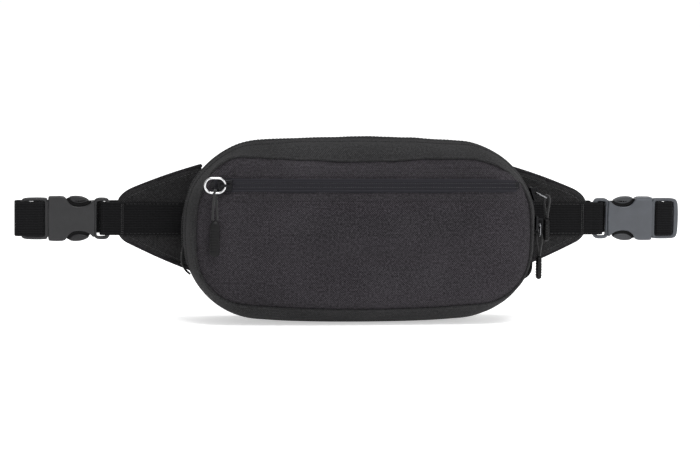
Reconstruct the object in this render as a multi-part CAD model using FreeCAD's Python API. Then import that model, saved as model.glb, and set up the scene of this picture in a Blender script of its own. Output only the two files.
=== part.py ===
import FreeCAD, Part
import math
import os

# A waist pack, in millimetres. +Z is up, the front faces -Y, and the pack stands on its base.
# The origin is the middle of the flat base.

V = FreeCAD.Vector

# Bag: outlines across the depth, as (y, half width, half height, corner radius)
MID_Z = 68.5
FRONT_SEAM = (-32.0, 126.5, 57.5, 40.0)
MIDDLE_SECTION = (-5.0, 133.0, 70.2, 60.0)
BACK_SEAM = (31.0, 128.0, 63.5, 54.0)
GUSSET_SECTIONS = [
    FRONT_SEAM,
    (-20.0, 131.2, 66.5, 54.0),
    MIDDLE_SECTION,
    (12.0, 132.4, 69.2, 60.0),
    BACK_SEAM,
]
DOME_SECTIONS = [
    (-32.2, 126.4, 57.4, 40.0),
    (-37.0, 121.5, 52.5, 38.0),
    (-38.5, 112.0, 43.0, 34.0),
]
CROWN = 7.8
WALL = 1.8
SEAM_GAP = 0.2
PIPING_AT = (-1.7, 1.0)
BINDING_AT = (1.5, 1.7)
BACK_PANEL_T = 2.0
BACK_PAD_T = 3.0
BACK_PAD_INSET = 14.0
PIPING_R = 1.6
BINDING_R = 1.3
LINING_T = 1.0
POCKET_WALL_BACK = 1.0
POCKET_WALL_INSET = WALL + 2.0
SLIP_POCKET_GAP = 2.0
SLIP_POCKET_INSET = WALL + 4.0
SLIP_POCKET_TOP_Z = MID_Z + 22.0
FAR = 400.0
HEAL = (1e-5, 1e-5, 1e-4)

# Front zip, straight along X
FRONT_Y = DOME_SECTIONS[-1][0]
FRONT_ZIP_Z = 105.4
ZIP_TAPE_HALF = 4.0
ZIP_STOP = (3.0, 1.2, 5.0)
ZIP_STOP_X = 113.0
ZIP_STOP_CLEAR = 0.8
FRONT_SLIDER_X = -104.6

# Main zip, round the top of the gusset
MAIN_ZIP_Y = -4.0
MAIN_ZIP_END_Z = 44.0
UPPER_SLIDER_DEG = 19.0
LOWER_SLIDER_Z = 74.0
END_TAB = (1.6, 10.0, 15.0)
END_TAB_SINK = -0.4
END_TAB_OVERLAP = 5.0

# Zip slider, its ring and its pull
SLIDER = (11.0, 8.5, 3.0)
SLIDER_LIFT = 0.3
SLIDER_ROUND = 1.2
BRIDGE_ROOT = 0.5
BRIDGE_LENGTH = 7.4
BRIDGE_WIDTH = 2.0
BRIDGE_OPENING = (5.0, 2.4)
BRIDGE_ROOF = 0.9
FRONT_RING = (16.5, 12.5, 1.7)
SIDE_RING = (11.0, 8.0, 1.2)
UPPER_RING_TILT = 46.0
CORD_D = 1.8
CORD_PLAY = 0.35
CORD_SPREAD = (1.6, 1.5, 1.1, 0.5)
CORD_BOW = (0.2, 0.7)
CORD_LEVELS = (1.0, 0.62, 0.28)
CORD_REACH = 0.45
FRONT_GRIP = (8.0, 5.0, 27.0)
SIDE_GRIP = (7.5, 4.5, 18.0)
FRONT_CORD_DROP = 20.0
SIDE_CORD_DROP = 15.0
GRIP_ROUND = 1.6

# Wings and belt
WING_Z = 75.0
WING_Y = 24.0
WING_T = 7.0
WING_WALL = 0.8
FOAM_CLEAR = 0.3
WING_ROOT_X = 136.5
WING_TIP_X = 179.5
WING_ROOT_Z = (40.0, 110.0)
WING_TIP_Z = (60.0, 93.0)
WING_TIP_R = 7.0
WEBBING_W = 25.0
WEBBING_T = 1.5
WEBBING_CLEAR = 0.1
WEBBING_START_X = WING_ROOT_X + 0.5
WEBBING_TAIL_X = 172.0
FOLD_R = 2.2
LEFT_FOLD_R = 3.2
TAIL_X = 221.0
TAIL_TURN_X = 234.0
TAIL_BACK = 6.0
LEFT_FOLD_X = 255.8
LEFT_FOLD_CLEAR = 0.3
RIGHT_FOLD_X = 247.2
RIGHT_HINGE_TRIM = 0.4
ROOT_PIVOT_X = 133.0
FOLD_PIVOT_X = 243.0
FOLD_STEP_Y = 10.0
HINGE_GAP = 1.6
STRAP_END_X = 40.0
LAYER_OFFSET = 0.9
LAYER_STEP = (12.0, 30.0)
LAYER_BEND_R = 20.0
KEEPER_X = 32.0
KEEPER_L = 9.0
KEEPER_WALL = 1.0
KEEPER_CLEAR = (0.35, 0.4)

# Side-release buckle, along X from the loop to the outer bar
SOCKET_LOOP_X = 185.0
SOCKET_SLEEVE_X = 196.0
SOCKET_WINDOW = (199.0, 219.5)
SOCKET_MOUTH_X = 231.0
SOCKET_LOOP_W = 31.3
SOCKET_W = 33.3
SOCKET_WAIST_W = 18.4
SOCKET_T = 9.0
SOCKET_LOOP_T = 4.4
LOOP_CORNER = 3.0
SLEEVE_CORNER = 1.5
LOOP_ROOT = 4.0
SOCKET_SLOT = (188.0, 191.6)
SLOT_W = 26.6
CAVITY_X = 201.5
CAVITY_W = 29.2
CAVITY_T = 5.8
PLUG_BASE_X = 229.2
PLUG_BASE_W = 27.6
PLUG_WINDOW = (231.9, 248.3)
PLUG_END_X = 252.0
PLUG_GAP = 0.4
PLUG_ROOT = 2.0
PLUG_W = 31.7
PLUG_T = 4.8
PLUG_BAR = (237.0, 239.5)
PLUG_BAR_T = 3.4
GUIDE = (206.0, 4.0)
GUIDE_T = PLUG_T - 1.0
ARM_T = 5.2
ARM_OUTLINE = [
    (228.7, 8.0),
    (228.7, 11.4),
    (219.2, 12.2),
    (219.2, 16.0),
    (209.5, 15.6),
    (203.0, 9.8),
    (203.0, 6.6),
]


def box(x0, x1, y0, y1, z0, z1):
    return Part.makeBox(x1 - x0, y1 - y0, z1 - z0, V(x0, y0, z0))


def mirrored(shape):
    """The left-hand twin of a right-hand piece."""
    return shape.mirror(V(0, 0, 0), V(1, 0, 0))


def circles_meet(c1, r1, c2, r2):
    """The upper right meeting point of two circles in the XZ plane."""
    between = c2.sub(c1)
    d = between.Length
    along = (r1 * r1 - r2 * r2 + d * d) / (2 * d)
    rise = math.sqrt(r1 * r1 - along * along)
    unit = between.normalize()
    foot = c1 + unit * along
    across = V(-unit.z, 0, unit.x)
    return max((foot + across * rise, foot - across * rise), key=lambda p: p.x + p.z)


def corner_of(half_w, half_h, corner):
    """Corner centre, top tangent point and side tangent point of an outline, about its middle."""
    top_r = half_w * half_w / (2 * CROWN)
    side_r = half_h * half_h / (2 * CROWN)
    top_c = V(0, 0, half_h - top_r)
    side_c = V(half_w - side_r, 0, 0)
    centre = circles_meet(top_c, top_r - corner, side_c, side_r - corner)
    top_p = top_c + (centre - top_c).normalize() * top_r
    side_p = side_c + (centre - side_c).normalize() * side_r
    return centre, top_p, side_p


def outline(y, half_w, half_h, corner):
    """A crowned rounded rectangle in the plane Y = y, as eight tangent arcs."""
    centre, top_p, side_p = corner_of(half_w, half_h, corner)
    middle = centre + ((top_p - centre) + (side_p - centre)).normalize() * corner
    edges = []

    def at(p, sx, sz):
        return V(sx * p.x, y, MID_Z + sz * p.z)

    for sx, sz in ((1, 1), (1, -1), (-1, -1), (-1, 1)):
        corner_arc = [at(p, sx, sz) for p in (top_p, middle, side_p)]
        if sx * sz > 0:
            side = V(sx * half_w, y, MID_Z)
            edges.append(Part.Arc(*corner_arc).toShape())
            edges.append(Part.Arc(corner_arc[2], side, at(side_p, sx, -sz)).toShape())
        else:
            flat = V(0, y, MID_Z + sz * half_h)
            edges.append(Part.Arc(*corner_arc[::-1]).toShape())
            edges.append(Part.Arc(corner_arc[0], flat, at(top_p, -sx, sz)).toShape())
    return Part.Wire(edges)


def inset(section, by, shift=0.0):
    """A section drawn in by a distance all round, and moved along Y."""
    y, half_w, half_h, corner = section
    return (y + shift, half_w - by, half_h - by, corner - by)


def loft(sections, ruled):
    wires = [outline(*section) for section in sections]
    return Part.makeLoft(wires, True, ruled)


def below(z):
    return box(-FAR, FAR, -FAR, FAR, -FAR, z)


def above(z):
    return box(-FAR, FAR, -FAR, FAR, z, FAR)


def gusset_ring():
    """The wall round the bag, flat underneath where it stands."""
    outer = loft(GUSSET_SECTIONS, False).cut(below(0))
    inner = loft([inset(s, WALL) for s in GUSSET_SECTIONS], False).cut(below(WALL))
    return outer.cut(inner)


def zip_band(y0, y1):
    return box(-FAR, FAR, y0, y1, MAIN_ZIP_END_Z, FAR)


def gusset_parts(parts):
    ring = gusset_ring()
    low = MAIN_ZIP_Y - ZIP_TAPE_HALF
    high = MAIN_ZIP_Y + ZIP_TAPE_HALF
    parts["main_zip_tape"] = ring.common(zip_band(low + SEAM_GAP, high - SEAM_GAP))
    parts["gusset_front"] = ring.common(zip_band(-FAR, low))
    parts["gusset_back"] = ring.common(zip_band(high, FAR))
    parts["gusset_bottom"] = ring.common(below(MAIN_ZIP_END_Z - SEAM_GAP))


def zip_stop(lid, x):
    """A metal stop clamped on the front zip, just proud of the panel."""
    length, thick, width = ZIP_STOP
    sight = Part.makeLine(V(x, -FAR, FRONT_ZIP_Z), V(x, 0, FRONT_ZIP_Z))
    y = min(v.Y for v in sight.common(lid).Vertexes) - thick - ZIP_STOP_CLEAR
    z = FRONT_ZIP_Z - width / 2
    return box(x - length / 2, x + length / 2, y, y + thick, z, z + width)


def front_parts(parts):
    outer = loft(DOME_SECTIONS, True)
    inner = loft([inset(s, WALL, WALL) for s in DOME_SECTIONS], True)
    lid = outer.cut(inner)
    lid.fix(*HEAL)
    low = FRONT_ZIP_Z - ZIP_TAPE_HALF
    high = FRONT_ZIP_Z + ZIP_TAPE_HALF
    parts["front_panel_lower"] = lid.common(below(low))
    parts["front_panel_upper"] = lid.common(above(high))
    band = box(-FAR, FAR, -FAR, FAR, low + SEAM_GAP, high - SEAM_GAP)
    parts["front_zip_tape"] = lid.common(band)
    stops = [zip_stop(outer, x) for x in (-ZIP_STOP_X, ZIP_STOP_X)]
    parts["front_zip_stops"] = Part.makeCompound(stops)


def pipe_round(section, radius):
    """A round cord of fabric along an outline."""
    y, half_h = section[0], section[2]
    path = outline(*section)
    start = V(0, y, MID_Z + half_h)
    ring = Part.Wire([Part.makeCircle(radius, start, V(1, 0, 0))])
    spine = Part.Wire(split_at_top(path, start))
    return spine.makePipeShell([ring], True, False)


def split_at_top(path, start):
    """The outline's edges, cut and turned so that they run from the top middle."""
    edges = Part.sortEdges(path.Edges)[0]
    first = next(i for i, e in enumerate(edges) if e.distToShape(Part.Vertex(start))[0] < 1e-6)
    halves = edges[first].split(edges[first].Curve.parameter(start)).Edges
    turned = [halves[1]] + edges[first + 1:] + edges[:first] + [halves[0]]
    return Part.sortEdges(turned)[0]


def seam_parts(parts):
    parts["front_piping"] = pipe_round(inset(FRONT_SEAM, -PIPING_AT[1], PIPING_AT[0]), PIPING_R)
    parts["back_binding"] = pipe_round(inset(BACK_SEAM, -BINDING_AT[1], BINDING_AT[0]), BINDING_R)


def slab(section, y0, y1, by):
    """A flat sheet from y0 to y1 with a section's outline, smaller all round by by."""
    face = Part.Face(outline(*inset(section, by, y0 - section[0])))
    return face.extrude(V(0, y1 - y0, 0))


def back_parts(parts):
    back = BACK_SEAM
    y = back[0]
    parts["back_panel"] = slab(back, y, y + BACK_PANEL_T, 0.0)
    parts["back_pad"] = slab(back, y + BACK_PANEL_T, y + BACK_PANEL_T + BACK_PAD_T, BACK_PAD_INSET)
    wall_y = FRONT_SEAM[0] + POCKET_WALL_BACK
    parts["front_pocket_wall"] = slab(FRONT_SEAM, wall_y, wall_y + LINING_T, POCKET_WALL_INSET)
    pocket_y = y - SLIP_POCKET_GAP
    pocket = slab(back, pocket_y - LINING_T, pocket_y, SLIP_POCKET_INSET)
    parts["slip_pocket"] = pocket.common(below(SLIP_POCKET_TOP_Z))


def placed(shape, origin, along, out):
    """Moves a piece from local axes, where X runs along the zip and Z stands out of it."""
    across = out.cross(along)
    turn = FreeCAD.Rotation(along, across, out, "XYZ")
    moved = shape.copy()
    moved.Placement = FreeCAD.Placement(origin, turn).multiply(shape.Placement)
    return moved


def slider_body():
    """A zip slider with a bridge for its ring, resting on Z = 0 of its own axes."""
    length, width, height = SLIDER
    plate = Part.makeBox(length, width, height, V(-length / 2, -width / 2, SLIDER_LIFT))
    plate = plate.makeFillet(SLIDER_ROUND, plate.Edges)
    top = SLIDER_LIFT + height
    opening, clear = BRIDGE_OPENING
    low = top - BRIDGE_ROOT
    high = top + clear + BRIDGE_ROOF
    half_l = BRIDGE_LENGTH / 2
    half_w = BRIDGE_WIDTH / 2
    bridge = box(-half_l, half_l, -half_w, half_w, low, high)
    hole = box(-opening / 2, opening / 2, -BRIDGE_WIDTH, BRIDGE_WIDTH, top, top + clear)
    return plate.fuse(bridge).removeSplitter().cut(hole)


RING_LIFT = SLIDER_LIFT + SLIDER[2] + BRIDGE_OPENING[1] / 2


def ring_wire(size, tilt):
    """An oval wire ring hung in the bridge, leaning out by tilt degrees about its wire in the bridge."""
    length, width, wire = size
    r = (width - wire) / 2
    straight = length - wire - 2 * r
    c0 = r
    c1 = r + straight
    corners = [V(c0, r, 0), V(c1, r, 0), V(c1 + r, 0, 0), V(c1, -r, 0), V(c0, -r, 0), V(0, 0, 0)]
    edges = [
        Part.LineSegment(corners[0], corners[1]).toShape(),
        Part.Arc(corners[1], corners[2], corners[3]).toShape(),
        Part.LineSegment(corners[3], corners[4]).toShape(),
        Part.Arc(corners[4], corners[5], corners[0]).toShape(),
    ]
    profile = Part.Wire([Part.makeCircle(wire / 2, corners[0], V(1, 0, 0))])
    ring = Part.Wire(edges).makePipeShell([profile], True, False)
    ring.rotate(V(0, 0, 0), V(0, 1, 0), -tilt)
    ring.translate(V(0, 0, RING_LIFT))
    return ring


def cord_tube(points, diameter):
    """Straight runs joined by tangent arcs, each as large as its two runs allow."""
    edges = []
    last = points[0]
    for before, here, after in zip(points, points[1:], points[2:]):
        back = (before - here).normalize()
        on = (after - here).normalize()
        turn = math.pi - back.getAngle(on)
        reach = CORD_REACH * min((before - here).Length, (after - here).Length)
        radius = reach / math.tan(turn / 2)
        start = here + back * reach
        end = here + on * reach
        bisector = (back + on).normalize()
        middle = here + bisector * (radius / math.cos(turn / 2) - radius)
        edges.append(Part.LineSegment(last, start).toShape())
        edges.append(Part.Arc(start, middle, end).toShape())
        last = end
    edges.append(Part.LineSegment(last, points[-1]).toShape())
    path = Part.Wire(edges)
    profile = Part.Wire([Part.makeCircle(diameter / 2, points[0], points[1] - points[0])])
    return path.makePipeShell([profile], True, False)


def cord_route(wire_point, wire_dir, out, drop, wrap):
    """A doubled cord over a ring's wire, as offsets along the wire, outwards and up."""
    bows = [CORD_BOW[0], CORD_BOW[1], wrap, wrap]
    rises = [-drop * level for level in CORD_LEVELS] + [wrap]
    strand = list(zip(CORD_SPREAD, bows, rises))
    near = [wire_point - wire_dir * a + out * b + V(0, 0, c) for a, b, c in strand]
    far = [wire_point + wire_dir * a - out * b + V(0, 0, c) for a, b, c in reversed(strand)]
    return near + far


def grip(size, wire_point, wire_dir, out, drop):
    """A moulded grip that hangs from its doubled cord."""
    width, depth, length = size
    body = Part.makeBox(width, depth, length, V(-width / 2, -depth / 2, -length))
    body = body.makeFillet(GRIP_ROUND, body.Edges)
    turn = FreeCAD.Rotation(wire_dir, V(0, 0, 1).cross(wire_dir), V(0, 0, 1), "XYZ")
    body.Placement = FreeCAD.Placement(wire_point + V(0, 0, -drop), turn)
    return body


def pull_parts(parts, name, wire_point, wire_dir, out, drop, size, ring):
    wrap = (ring[2] + CORD_D) / 2 + CORD_PLAY
    route = cord_route(wire_point, wire_dir, out, drop, wrap)
    parts[name + "_cord"] = cord_tube(route, CORD_D)
    parts[name + "_grip"] = grip(size, wire_point, wire_dir, out, drop)


def front_slider_parts(parts):
    origin = V(FRONT_SLIDER_X, FRONT_Y, FRONT_ZIP_Z)
    along = V(-1, 0, 0)
    out = V(0, -1, 0)
    parts["front_slider"] = placed(slider_body(), origin, along, out)
    parts["front_ring"] = placed(ring_wire(FRONT_RING, 0.0), origin, along, out)
    length, width, wire = FRONT_RING
    wire_point = origin + V(-(length - wire) / 2, -RING_LIFT, -(width - wire) / 2)
    pull_parts(parts, "front_pull", wire_point, V(1, 0, 0), out, FRONT_CORD_DROP, FRONT_GRIP, FRONT_RING)


def side_slider_parts(parts, name, origin, out, tilt):
    along = V(out.z, 0, -out.x)
    parts[name + "_slider"] = placed(slider_body(), origin, along, out)
    parts[name + "_ring"] = placed(ring_wire(SIDE_RING, tilt), origin, along, out)
    reach = SIDE_RING[0] - SIDE_RING[2]
    lean = math.radians(tilt)
    pivot = origin + out * RING_LIFT
    wire_point = pivot + along * (reach * math.cos(lean)) + out * (reach * math.sin(lean))
    pull_parts(parts, name + "_pull", wire_point, V(0, 1, 0), V(1, 0, 0), SIDE_CORD_DROP, SIDE_GRIP, SIDE_RING)


def main_slider_parts(parts):
    half_w, half_h, corner = MIDDLE_SECTION[1:]
    middle = corner_of(half_w, half_h, corner)[0]
    centre = V(middle.x, MAIN_ZIP_Y, MID_Z + middle.z)
    angle = math.radians(UPPER_SLIDER_DEG)
    out = V(math.cos(angle), 0, math.sin(angle))
    side_slider_parts(parts, "upper", centre + out * corner, out, UPPER_RING_TILT)
    lower = V(half_w, MAIN_ZIP_Y, LOWER_SLIDER_Z)
    side_slider_parts(parts, "lower", lower, V(1, 0, 0), 0.0)


def small_parts(parts):
    x = MIDDLE_SECTION[1]
    t, w, h = END_TAB
    y0 = MAIN_ZIP_Y - w / 2
    top = MAIN_ZIP_END_Z + END_TAB_OVERLAP
    tab = box(x + END_TAB_SINK, x + END_TAB_SINK + t, y0, y0 + w, top - h, top)
    parts["end_tab_right"] = tab
    parts["end_tab_left"] = mirrored(tab)


def offset_points(points, shift):
    """The corners of a polyline in the XY plane, moved sideways by shift."""
    moved = []
    for i, p in enumerate(points):
        dirs = []
        if i > 0:
            dirs.append((p - points[i - 1]).normalize())
        if i < len(points) - 1:
            dirs.append((points[i + 1] - p).normalize())
        normals = [V(-d.y, d.x, 0) for d in dirs]
        total = normals[0] + normals[-1]
        scale = 2.0 / (total.Length ** 2)
        moved.append(p + total * (shift * scale))
    return moved


def rounded_edges(points, radii):
    """Line and arc edges along a polyline, with a radius at each inner corner."""
    edges = []
    last = points[0]
    for before, here, after, radius in zip(points, points[1:], points[2:], radii):
        back = (before - here).normalize()
        on = (after - here).normalize()
        turn = math.pi - back.getAngle(on)
        reach = radius * math.tan(turn / 2)
        bisector = (back + on).normalize()
        middle = here + bisector * (radius / math.cos(turn / 2) - radius)
        edges.append(Part.LineSegment(last, here + back * reach).toShape())
        edges.append(Part.Arc(here + back * reach, middle, here + on * reach).toShape())
        last = here + on * reach
    edges.append(Part.LineSegment(last, points[-1]).toShape())
    return edges


def ribbon(flat_points, thickness=WEBBING_T, width=WEBBING_W, radius=FOLD_R):
    """Webbing on edge: a band of constant thickness along a polyline in plan, at the wing's height."""
    points = [V(x, y, 0) for x, y in flat_points]
    sides = []
    for sign in (1, -1):
        radii = []
        for before, here, after in zip(points, points[1:], points[2:]):
            left_turn = (here - before).cross(after - here).z > 0
            closer = left_turn == (sign > 0)
            radii.append(radius - thickness / 2 if closer else radius + thickness / 2)
        moved = offset_points(points, sign * thickness / 2)
        sides.append((moved, rounded_edges(moved, radii)))
    (left, left_edges), (right, right_edges) = sides
    caps = [Part.LineSegment(left[i], right[i]).toShape() for i in (0, -1)]
    wire = Part.Wire(Part.sortEdges(left_edges + right_edges + caps)[0])
    band = Part.Face(wire).extrude(V(0, 0, width))
    band.translate(V(0, 0, WING_Z - width / 2))
    return band


def wing_face(grow):
    """The wing's tapered outline with a rounded tip, shrunk by -grow, in the plane Y = 0."""
    x0 = WING_ROOT_X - grow
    x1 = WING_TIP_X + grow
    low0 = WING_ROOT_Z[0] - grow
    high0 = WING_ROOT_Z[1] + grow
    low1 = WING_TIP_Z[0] - grow
    high1 = WING_TIP_Z[1] + grow
    points = [V(x0, low0, 0), V(x1, low1, 0), V(x1, high1, 0), V(x0, high0, 0)]
    radius = WING_TIP_R + grow
    edges = rounded_edges(points, [radius, radius])
    edges.append(Part.LineSegment(points[-1], points[0]).toShape())
    wire = Part.Wire(edges)
    wire.rotate(V(0, 0, 0), V(1, 0, 0), 90)
    return Part.Face(wire)


def wing_parts():
    half = WING_T / 2
    outer = wing_face(0.0).extrude(V(0, WING_T, 0))
    outer.translate(V(0, WING_Y - half, 0))
    hollow = wing_face(-WING_WALL).extrude(V(0, WING_T - 2 * WING_WALL, 0))
    hollow.translate(V(0, WING_Y - half + WING_WALL, 0))
    shrink = WING_WALL + FOAM_CLEAR
    foam = wing_face(-shrink).extrude(V(0, WING_T - 2 * shrink, 0))
    foam.translate(V(0, WING_Y - half + shrink, 0))
    front = WING_Y - half - WEBBING_T / 2 - WEBBING_CLEAR
    back = WING_Y + half + WEBBING_T / 2 + WEBBING_CLEAR
    turn_x = (SOCKET_SLOT[0] + SOCKET_SLOT[1]) / 2
    band = ribbon([(WEBBING_START_X, front), (turn_x, front), (turn_x, back), (WEBBING_TAIL_X, back)])
    return {"wing_shell": outer.cut(hollow), "wing_foam": foam, "wing_webbing": band}


def centred_box(x0, x1, thickness, width):
    return box(x0, x1, WING_Y - thickness / 2, WING_Y + thickness / 2, WING_Z - width / 2, WING_Z + width / 2)


def rounded_plate(x0, x1, thickness, width, radius):
    plate = centred_box(x0, x1, thickness, width)
    corners = [e for e in plate.Edges if abs(e.tangentAt(e.FirstParameter).y) > 0.9]
    return plate.makeFillet(radius, corners)


def socket():
    """The female half: a webbing loop, two side windows and a sleeve with a mouth."""
    loop_end = SOCKET_SLEEVE_X + LOOP_ROOT
    loop = rounded_plate(SOCKET_LOOP_X, loop_end, SOCKET_LOOP_T, SOCKET_LOOP_W, LOOP_CORNER)
    sleeve = rounded_plate(SOCKET_SLEEVE_X, SOCKET_MOUTH_X, SOCKET_T, SOCKET_W, SLEEVE_CORNER)
    body = loop.fuse(sleeve)
    waist = SOCKET_WAIST_W / 2
    for sign in (1, -1):
        low, high = sorted((WING_Z + sign * waist, WING_Z + sign * FAR))
        notch = box(SOCKET_WINDOW[0], SOCKET_WINDOW[1], -FAR, FAR, low, high)
        body = body.cut(notch)
    body = body.cut(centred_box(SOCKET_SLOT[0], SOCKET_SLOT[1], SOCKET_T * 2, SLOT_W))
    body = body.cut(centred_box(CAVITY_X, FAR, CAVITY_T, CAVITY_W))
    return body.removeSplitter()


def plug():
    """The male half's frame: base, rails, cross bar, outer bar and centre guide."""
    frame = rounded_plate(SOCKET_MOUTH_X + PLUG_GAP, PLUG_END_X, PLUG_T, PLUG_W, LOOP_CORNER)
    base = centred_box(PLUG_BASE_X, SOCKET_MOUTH_X + PLUG_ROOT, PLUG_T, PLUG_BASE_W)
    body = frame.fuse(base)
    body = body.cut(centred_box(PLUG_WINDOW[0], PLUG_WINDOW[1], PLUG_T * 2, SLOT_W))
    bar = centred_box(PLUG_BAR[0], PLUG_BAR[1], PLUG_BAR_T, SLOT_W + PLUG_ROOT)
    guide = centred_box(GUIDE[0], PLUG_BASE_X + 1.0, GUIDE_T, GUIDE[1])
    return body.fuse(bar).fuse(guide).removeSplitter()


def arm(side):
    """One sprung arm of the plug, with the button that fills the socket's window."""
    points = [V(x, WING_Y - ARM_T / 2, WING_Z + side * z) for x, z in ARM_OUTLINE]
    wire = Part.makePolygon(points + points[:1])
    return Part.Face(wire).extrude(V(0, ARM_T, 0))


def fold_points(bar_x, clear, trim):
    """Belt webbing at a plug: tail behind, forward through the window and back over a bar."""
    front = WING_Y - PLUG_T / 2 - WEBBING_T / 2 - clear
    tail = WING_Y + TAIL_BACK
    back = WING_Y + FOLD_STEP_Y
    return [
        (TAIL_X, tail),
        (TAIL_TURN_X, tail),
        (TAIL_TURN_X, front),
        (bar_x, front),
        (bar_x, back),
        (FOLD_PIVOT_X + HINGE_GAP - trim, back),
    ]


def strap_a():
    """The belt from the fold behind the plug to the back corner of the pack."""
    p1 = V(FOLD_PIVOT_X, WING_Y + FOLD_STEP_Y, 0)
    p2 = V(ROOT_PIVOT_X, WING_Y + 2 * FOLD_STEP_Y, 0)
    unit = (p2 - p1).normalize()
    a = p1 + unit * HINGE_GAP
    b = p2 - unit * HINGE_GAP
    return ribbon([(a.x, a.y), (b.x, b.y)])


def strap_b(layer):
    """Half of the belt's back run, which passes the middle so that both halves overlap."""
    y = WING_Y + 2 * FOLD_STEP_Y
    x0 = ROOT_PIVOT_X - HINGE_GAP
    level, apart = LAYER_STEP
    points = [(x0, y), (x0 - level, y), (x0 - apart, y + layer), (-STRAP_END_X, y + layer)]
    return ribbon(points, radius=LAYER_BEND_R)


def keeper():
    """An elastic band round both layers of the belt."""
    y = WING_Y + 2 * FOLD_STEP_Y
    half_t = LAYER_OFFSET + WEBBING_T / 2 + KEEPER_CLEAR[0]
    half_w = WEBBING_W / 2 + KEEPER_CLEAR[1]
    x0 = -KEEPER_X
    x1 = x0 + KEEPER_L
    t = KEEPER_WALL
    outer = box(x0, x1, y - half_t - t, y + half_t + t, WING_Z - half_w - t, WING_Z + half_w + t)
    inner = box(-FAR, FAR, y - half_t, y + half_t, WING_Z - half_w, WING_Z + half_w)
    return outer.cut(inner)


def belt_parts(parts):
    right = dict(wing_parts())
    right["socket"] = socket()
    right["plug"] = plug()
    right["arm_upper"] = arm(1)
    right["arm_lower"] = arm(-1)
    right["belt_side"] = strap_a()
    for name, shape in right.items():
        parts[name + "_right"] = shape
        parts[name + "_left"] = mirrored(shape)
    right_fold = fold_points(RIGHT_FOLD_X, WEBBING_CLEAR, RIGHT_HINGE_TRIM)
    left_fold = fold_points(LEFT_FOLD_X, LEFT_FOLD_CLEAR, 0.0)
    parts["belt_fold_right"] = ribbon(right_fold)
    parts["belt_fold_left"] = mirrored(ribbon(left_fold, radius=LEFT_FOLD_R))
    parts["belt_back_right"] = strap_b(LAYER_OFFSET)
    parts["belt_back_left"] = mirrored(strap_b(-LAYER_OFFSET))
    parts["belt_keeper"] = keeper()


def main():
    parts = {}
    gusset_parts(parts)
    front_parts(parts)
    seam_parts(parts)
    back_parts(parts)
    small_parts(parts)
    front_slider_parts(parts)
    main_slider_parts(parts)
    belt_parts(parts)
    os.makedirs("parts", exist_ok=True)
    for name, shape in parts.items():
        if not shape.isValid():
            print("not valid:", name)
        shape.exportStep(os.path.join("parts", name + ".step"))
    print(len(parts), "parts")


main()
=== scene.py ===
import math
import bmesh
import bpy
from mathutils import Matrix, Vector, noise
from mathutils.bvhtree import BVHTree
from mathutils.geometry import tessellate_polygon


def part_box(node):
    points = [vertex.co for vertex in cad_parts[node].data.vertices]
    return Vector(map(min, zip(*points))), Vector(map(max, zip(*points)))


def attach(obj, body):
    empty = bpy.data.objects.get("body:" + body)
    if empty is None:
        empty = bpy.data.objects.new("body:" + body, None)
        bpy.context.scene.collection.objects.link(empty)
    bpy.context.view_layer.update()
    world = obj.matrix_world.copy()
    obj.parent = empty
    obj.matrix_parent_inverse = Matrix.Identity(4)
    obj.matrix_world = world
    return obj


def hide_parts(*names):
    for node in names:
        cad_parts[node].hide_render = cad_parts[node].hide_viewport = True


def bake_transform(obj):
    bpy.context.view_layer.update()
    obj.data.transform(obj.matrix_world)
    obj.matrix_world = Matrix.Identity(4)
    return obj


# A waist pack in the CAD frame. Lengths below are in millimetres and meshes are written in metres.

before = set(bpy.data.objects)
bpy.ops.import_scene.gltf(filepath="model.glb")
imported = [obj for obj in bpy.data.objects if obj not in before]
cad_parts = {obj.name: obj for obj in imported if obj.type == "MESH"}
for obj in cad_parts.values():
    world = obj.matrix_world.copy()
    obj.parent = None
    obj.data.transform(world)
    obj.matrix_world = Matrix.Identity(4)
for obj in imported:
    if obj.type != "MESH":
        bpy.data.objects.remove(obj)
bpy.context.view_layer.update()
MM = 0.001

# Bag outlines, as (y, half width, half height, corner radius) about the middle height
MID_Z = 68.5
CROWN = 7.8
PANEL_SECTION = (-38.3, 112.0, 43.0, 34.0)
PANEL_BEND = (-36.9, 121.3, 52.3, 38.0)
FRONT_SEAM = (-32.0, 126.3, 57.3, 40.0)
BACK_SEAM = (31.0, 127.8, 63.3, 54.0)
GUSSET_SECTIONS = [FRONT_SEAM, (-20.0, 131.0, 66.3, 54.0), (-5.0, 132.8, 70.0, 60.0),
                   (12.0, 132.2, 69.0, 60.0), BACK_SEAM]
# How far the front seam's top lies above or below its even curve, at places along X
SEAM_SWAY = [(-126, 0.0), (-118, 4.0), (-112, 6.5), (-98, 6.0), (-84, 4.2), (-66, 2.0), (-48, 0.0),
             (-11, -2.3), (16, -1.7), (52, 1.4), (80, 3.2), (97, 1.0), (113, -0.8), (126, 0.0)]
BACK_Y = 33.0
COLUMNS = 240
START_SMALLER = 1.2
BASE_SOFT = 2.0

# Zips
FRONT_ZIP_Z = 105.4
FRONT_ZIP_HALF = 114.0
MAIN_ZIP_Y = -4.0
MAIN_ZIP_END_Z = 44.0
ZIP_FLOOR_Y = -37.3

# Wings, belt and buckles
WING_Z = 75.0
WING_Y = 24.0
WING_ROOT_X = 116.0
WING_TIP_X = 179.5
WING_ROOT_Z = (32.5, 116.2)
WING_TIP_Z = (60.5, 93.4)
WEBBING_W = 25.0
WINDOW_WEBBING_W = 26.3
WEBBING_T = 1.4
FOLD_X = 243.0
CORNER_X = 133.0
BELT_BACK_Y = 44.0
KEEPER_X = -27.5
RECESS_X = (199.0, 240.0)

# Back pad
PAD_INSET = 14.0
PAD_CHANNEL_X = 38.0


# ---------------------------------------------------------------- materials

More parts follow.
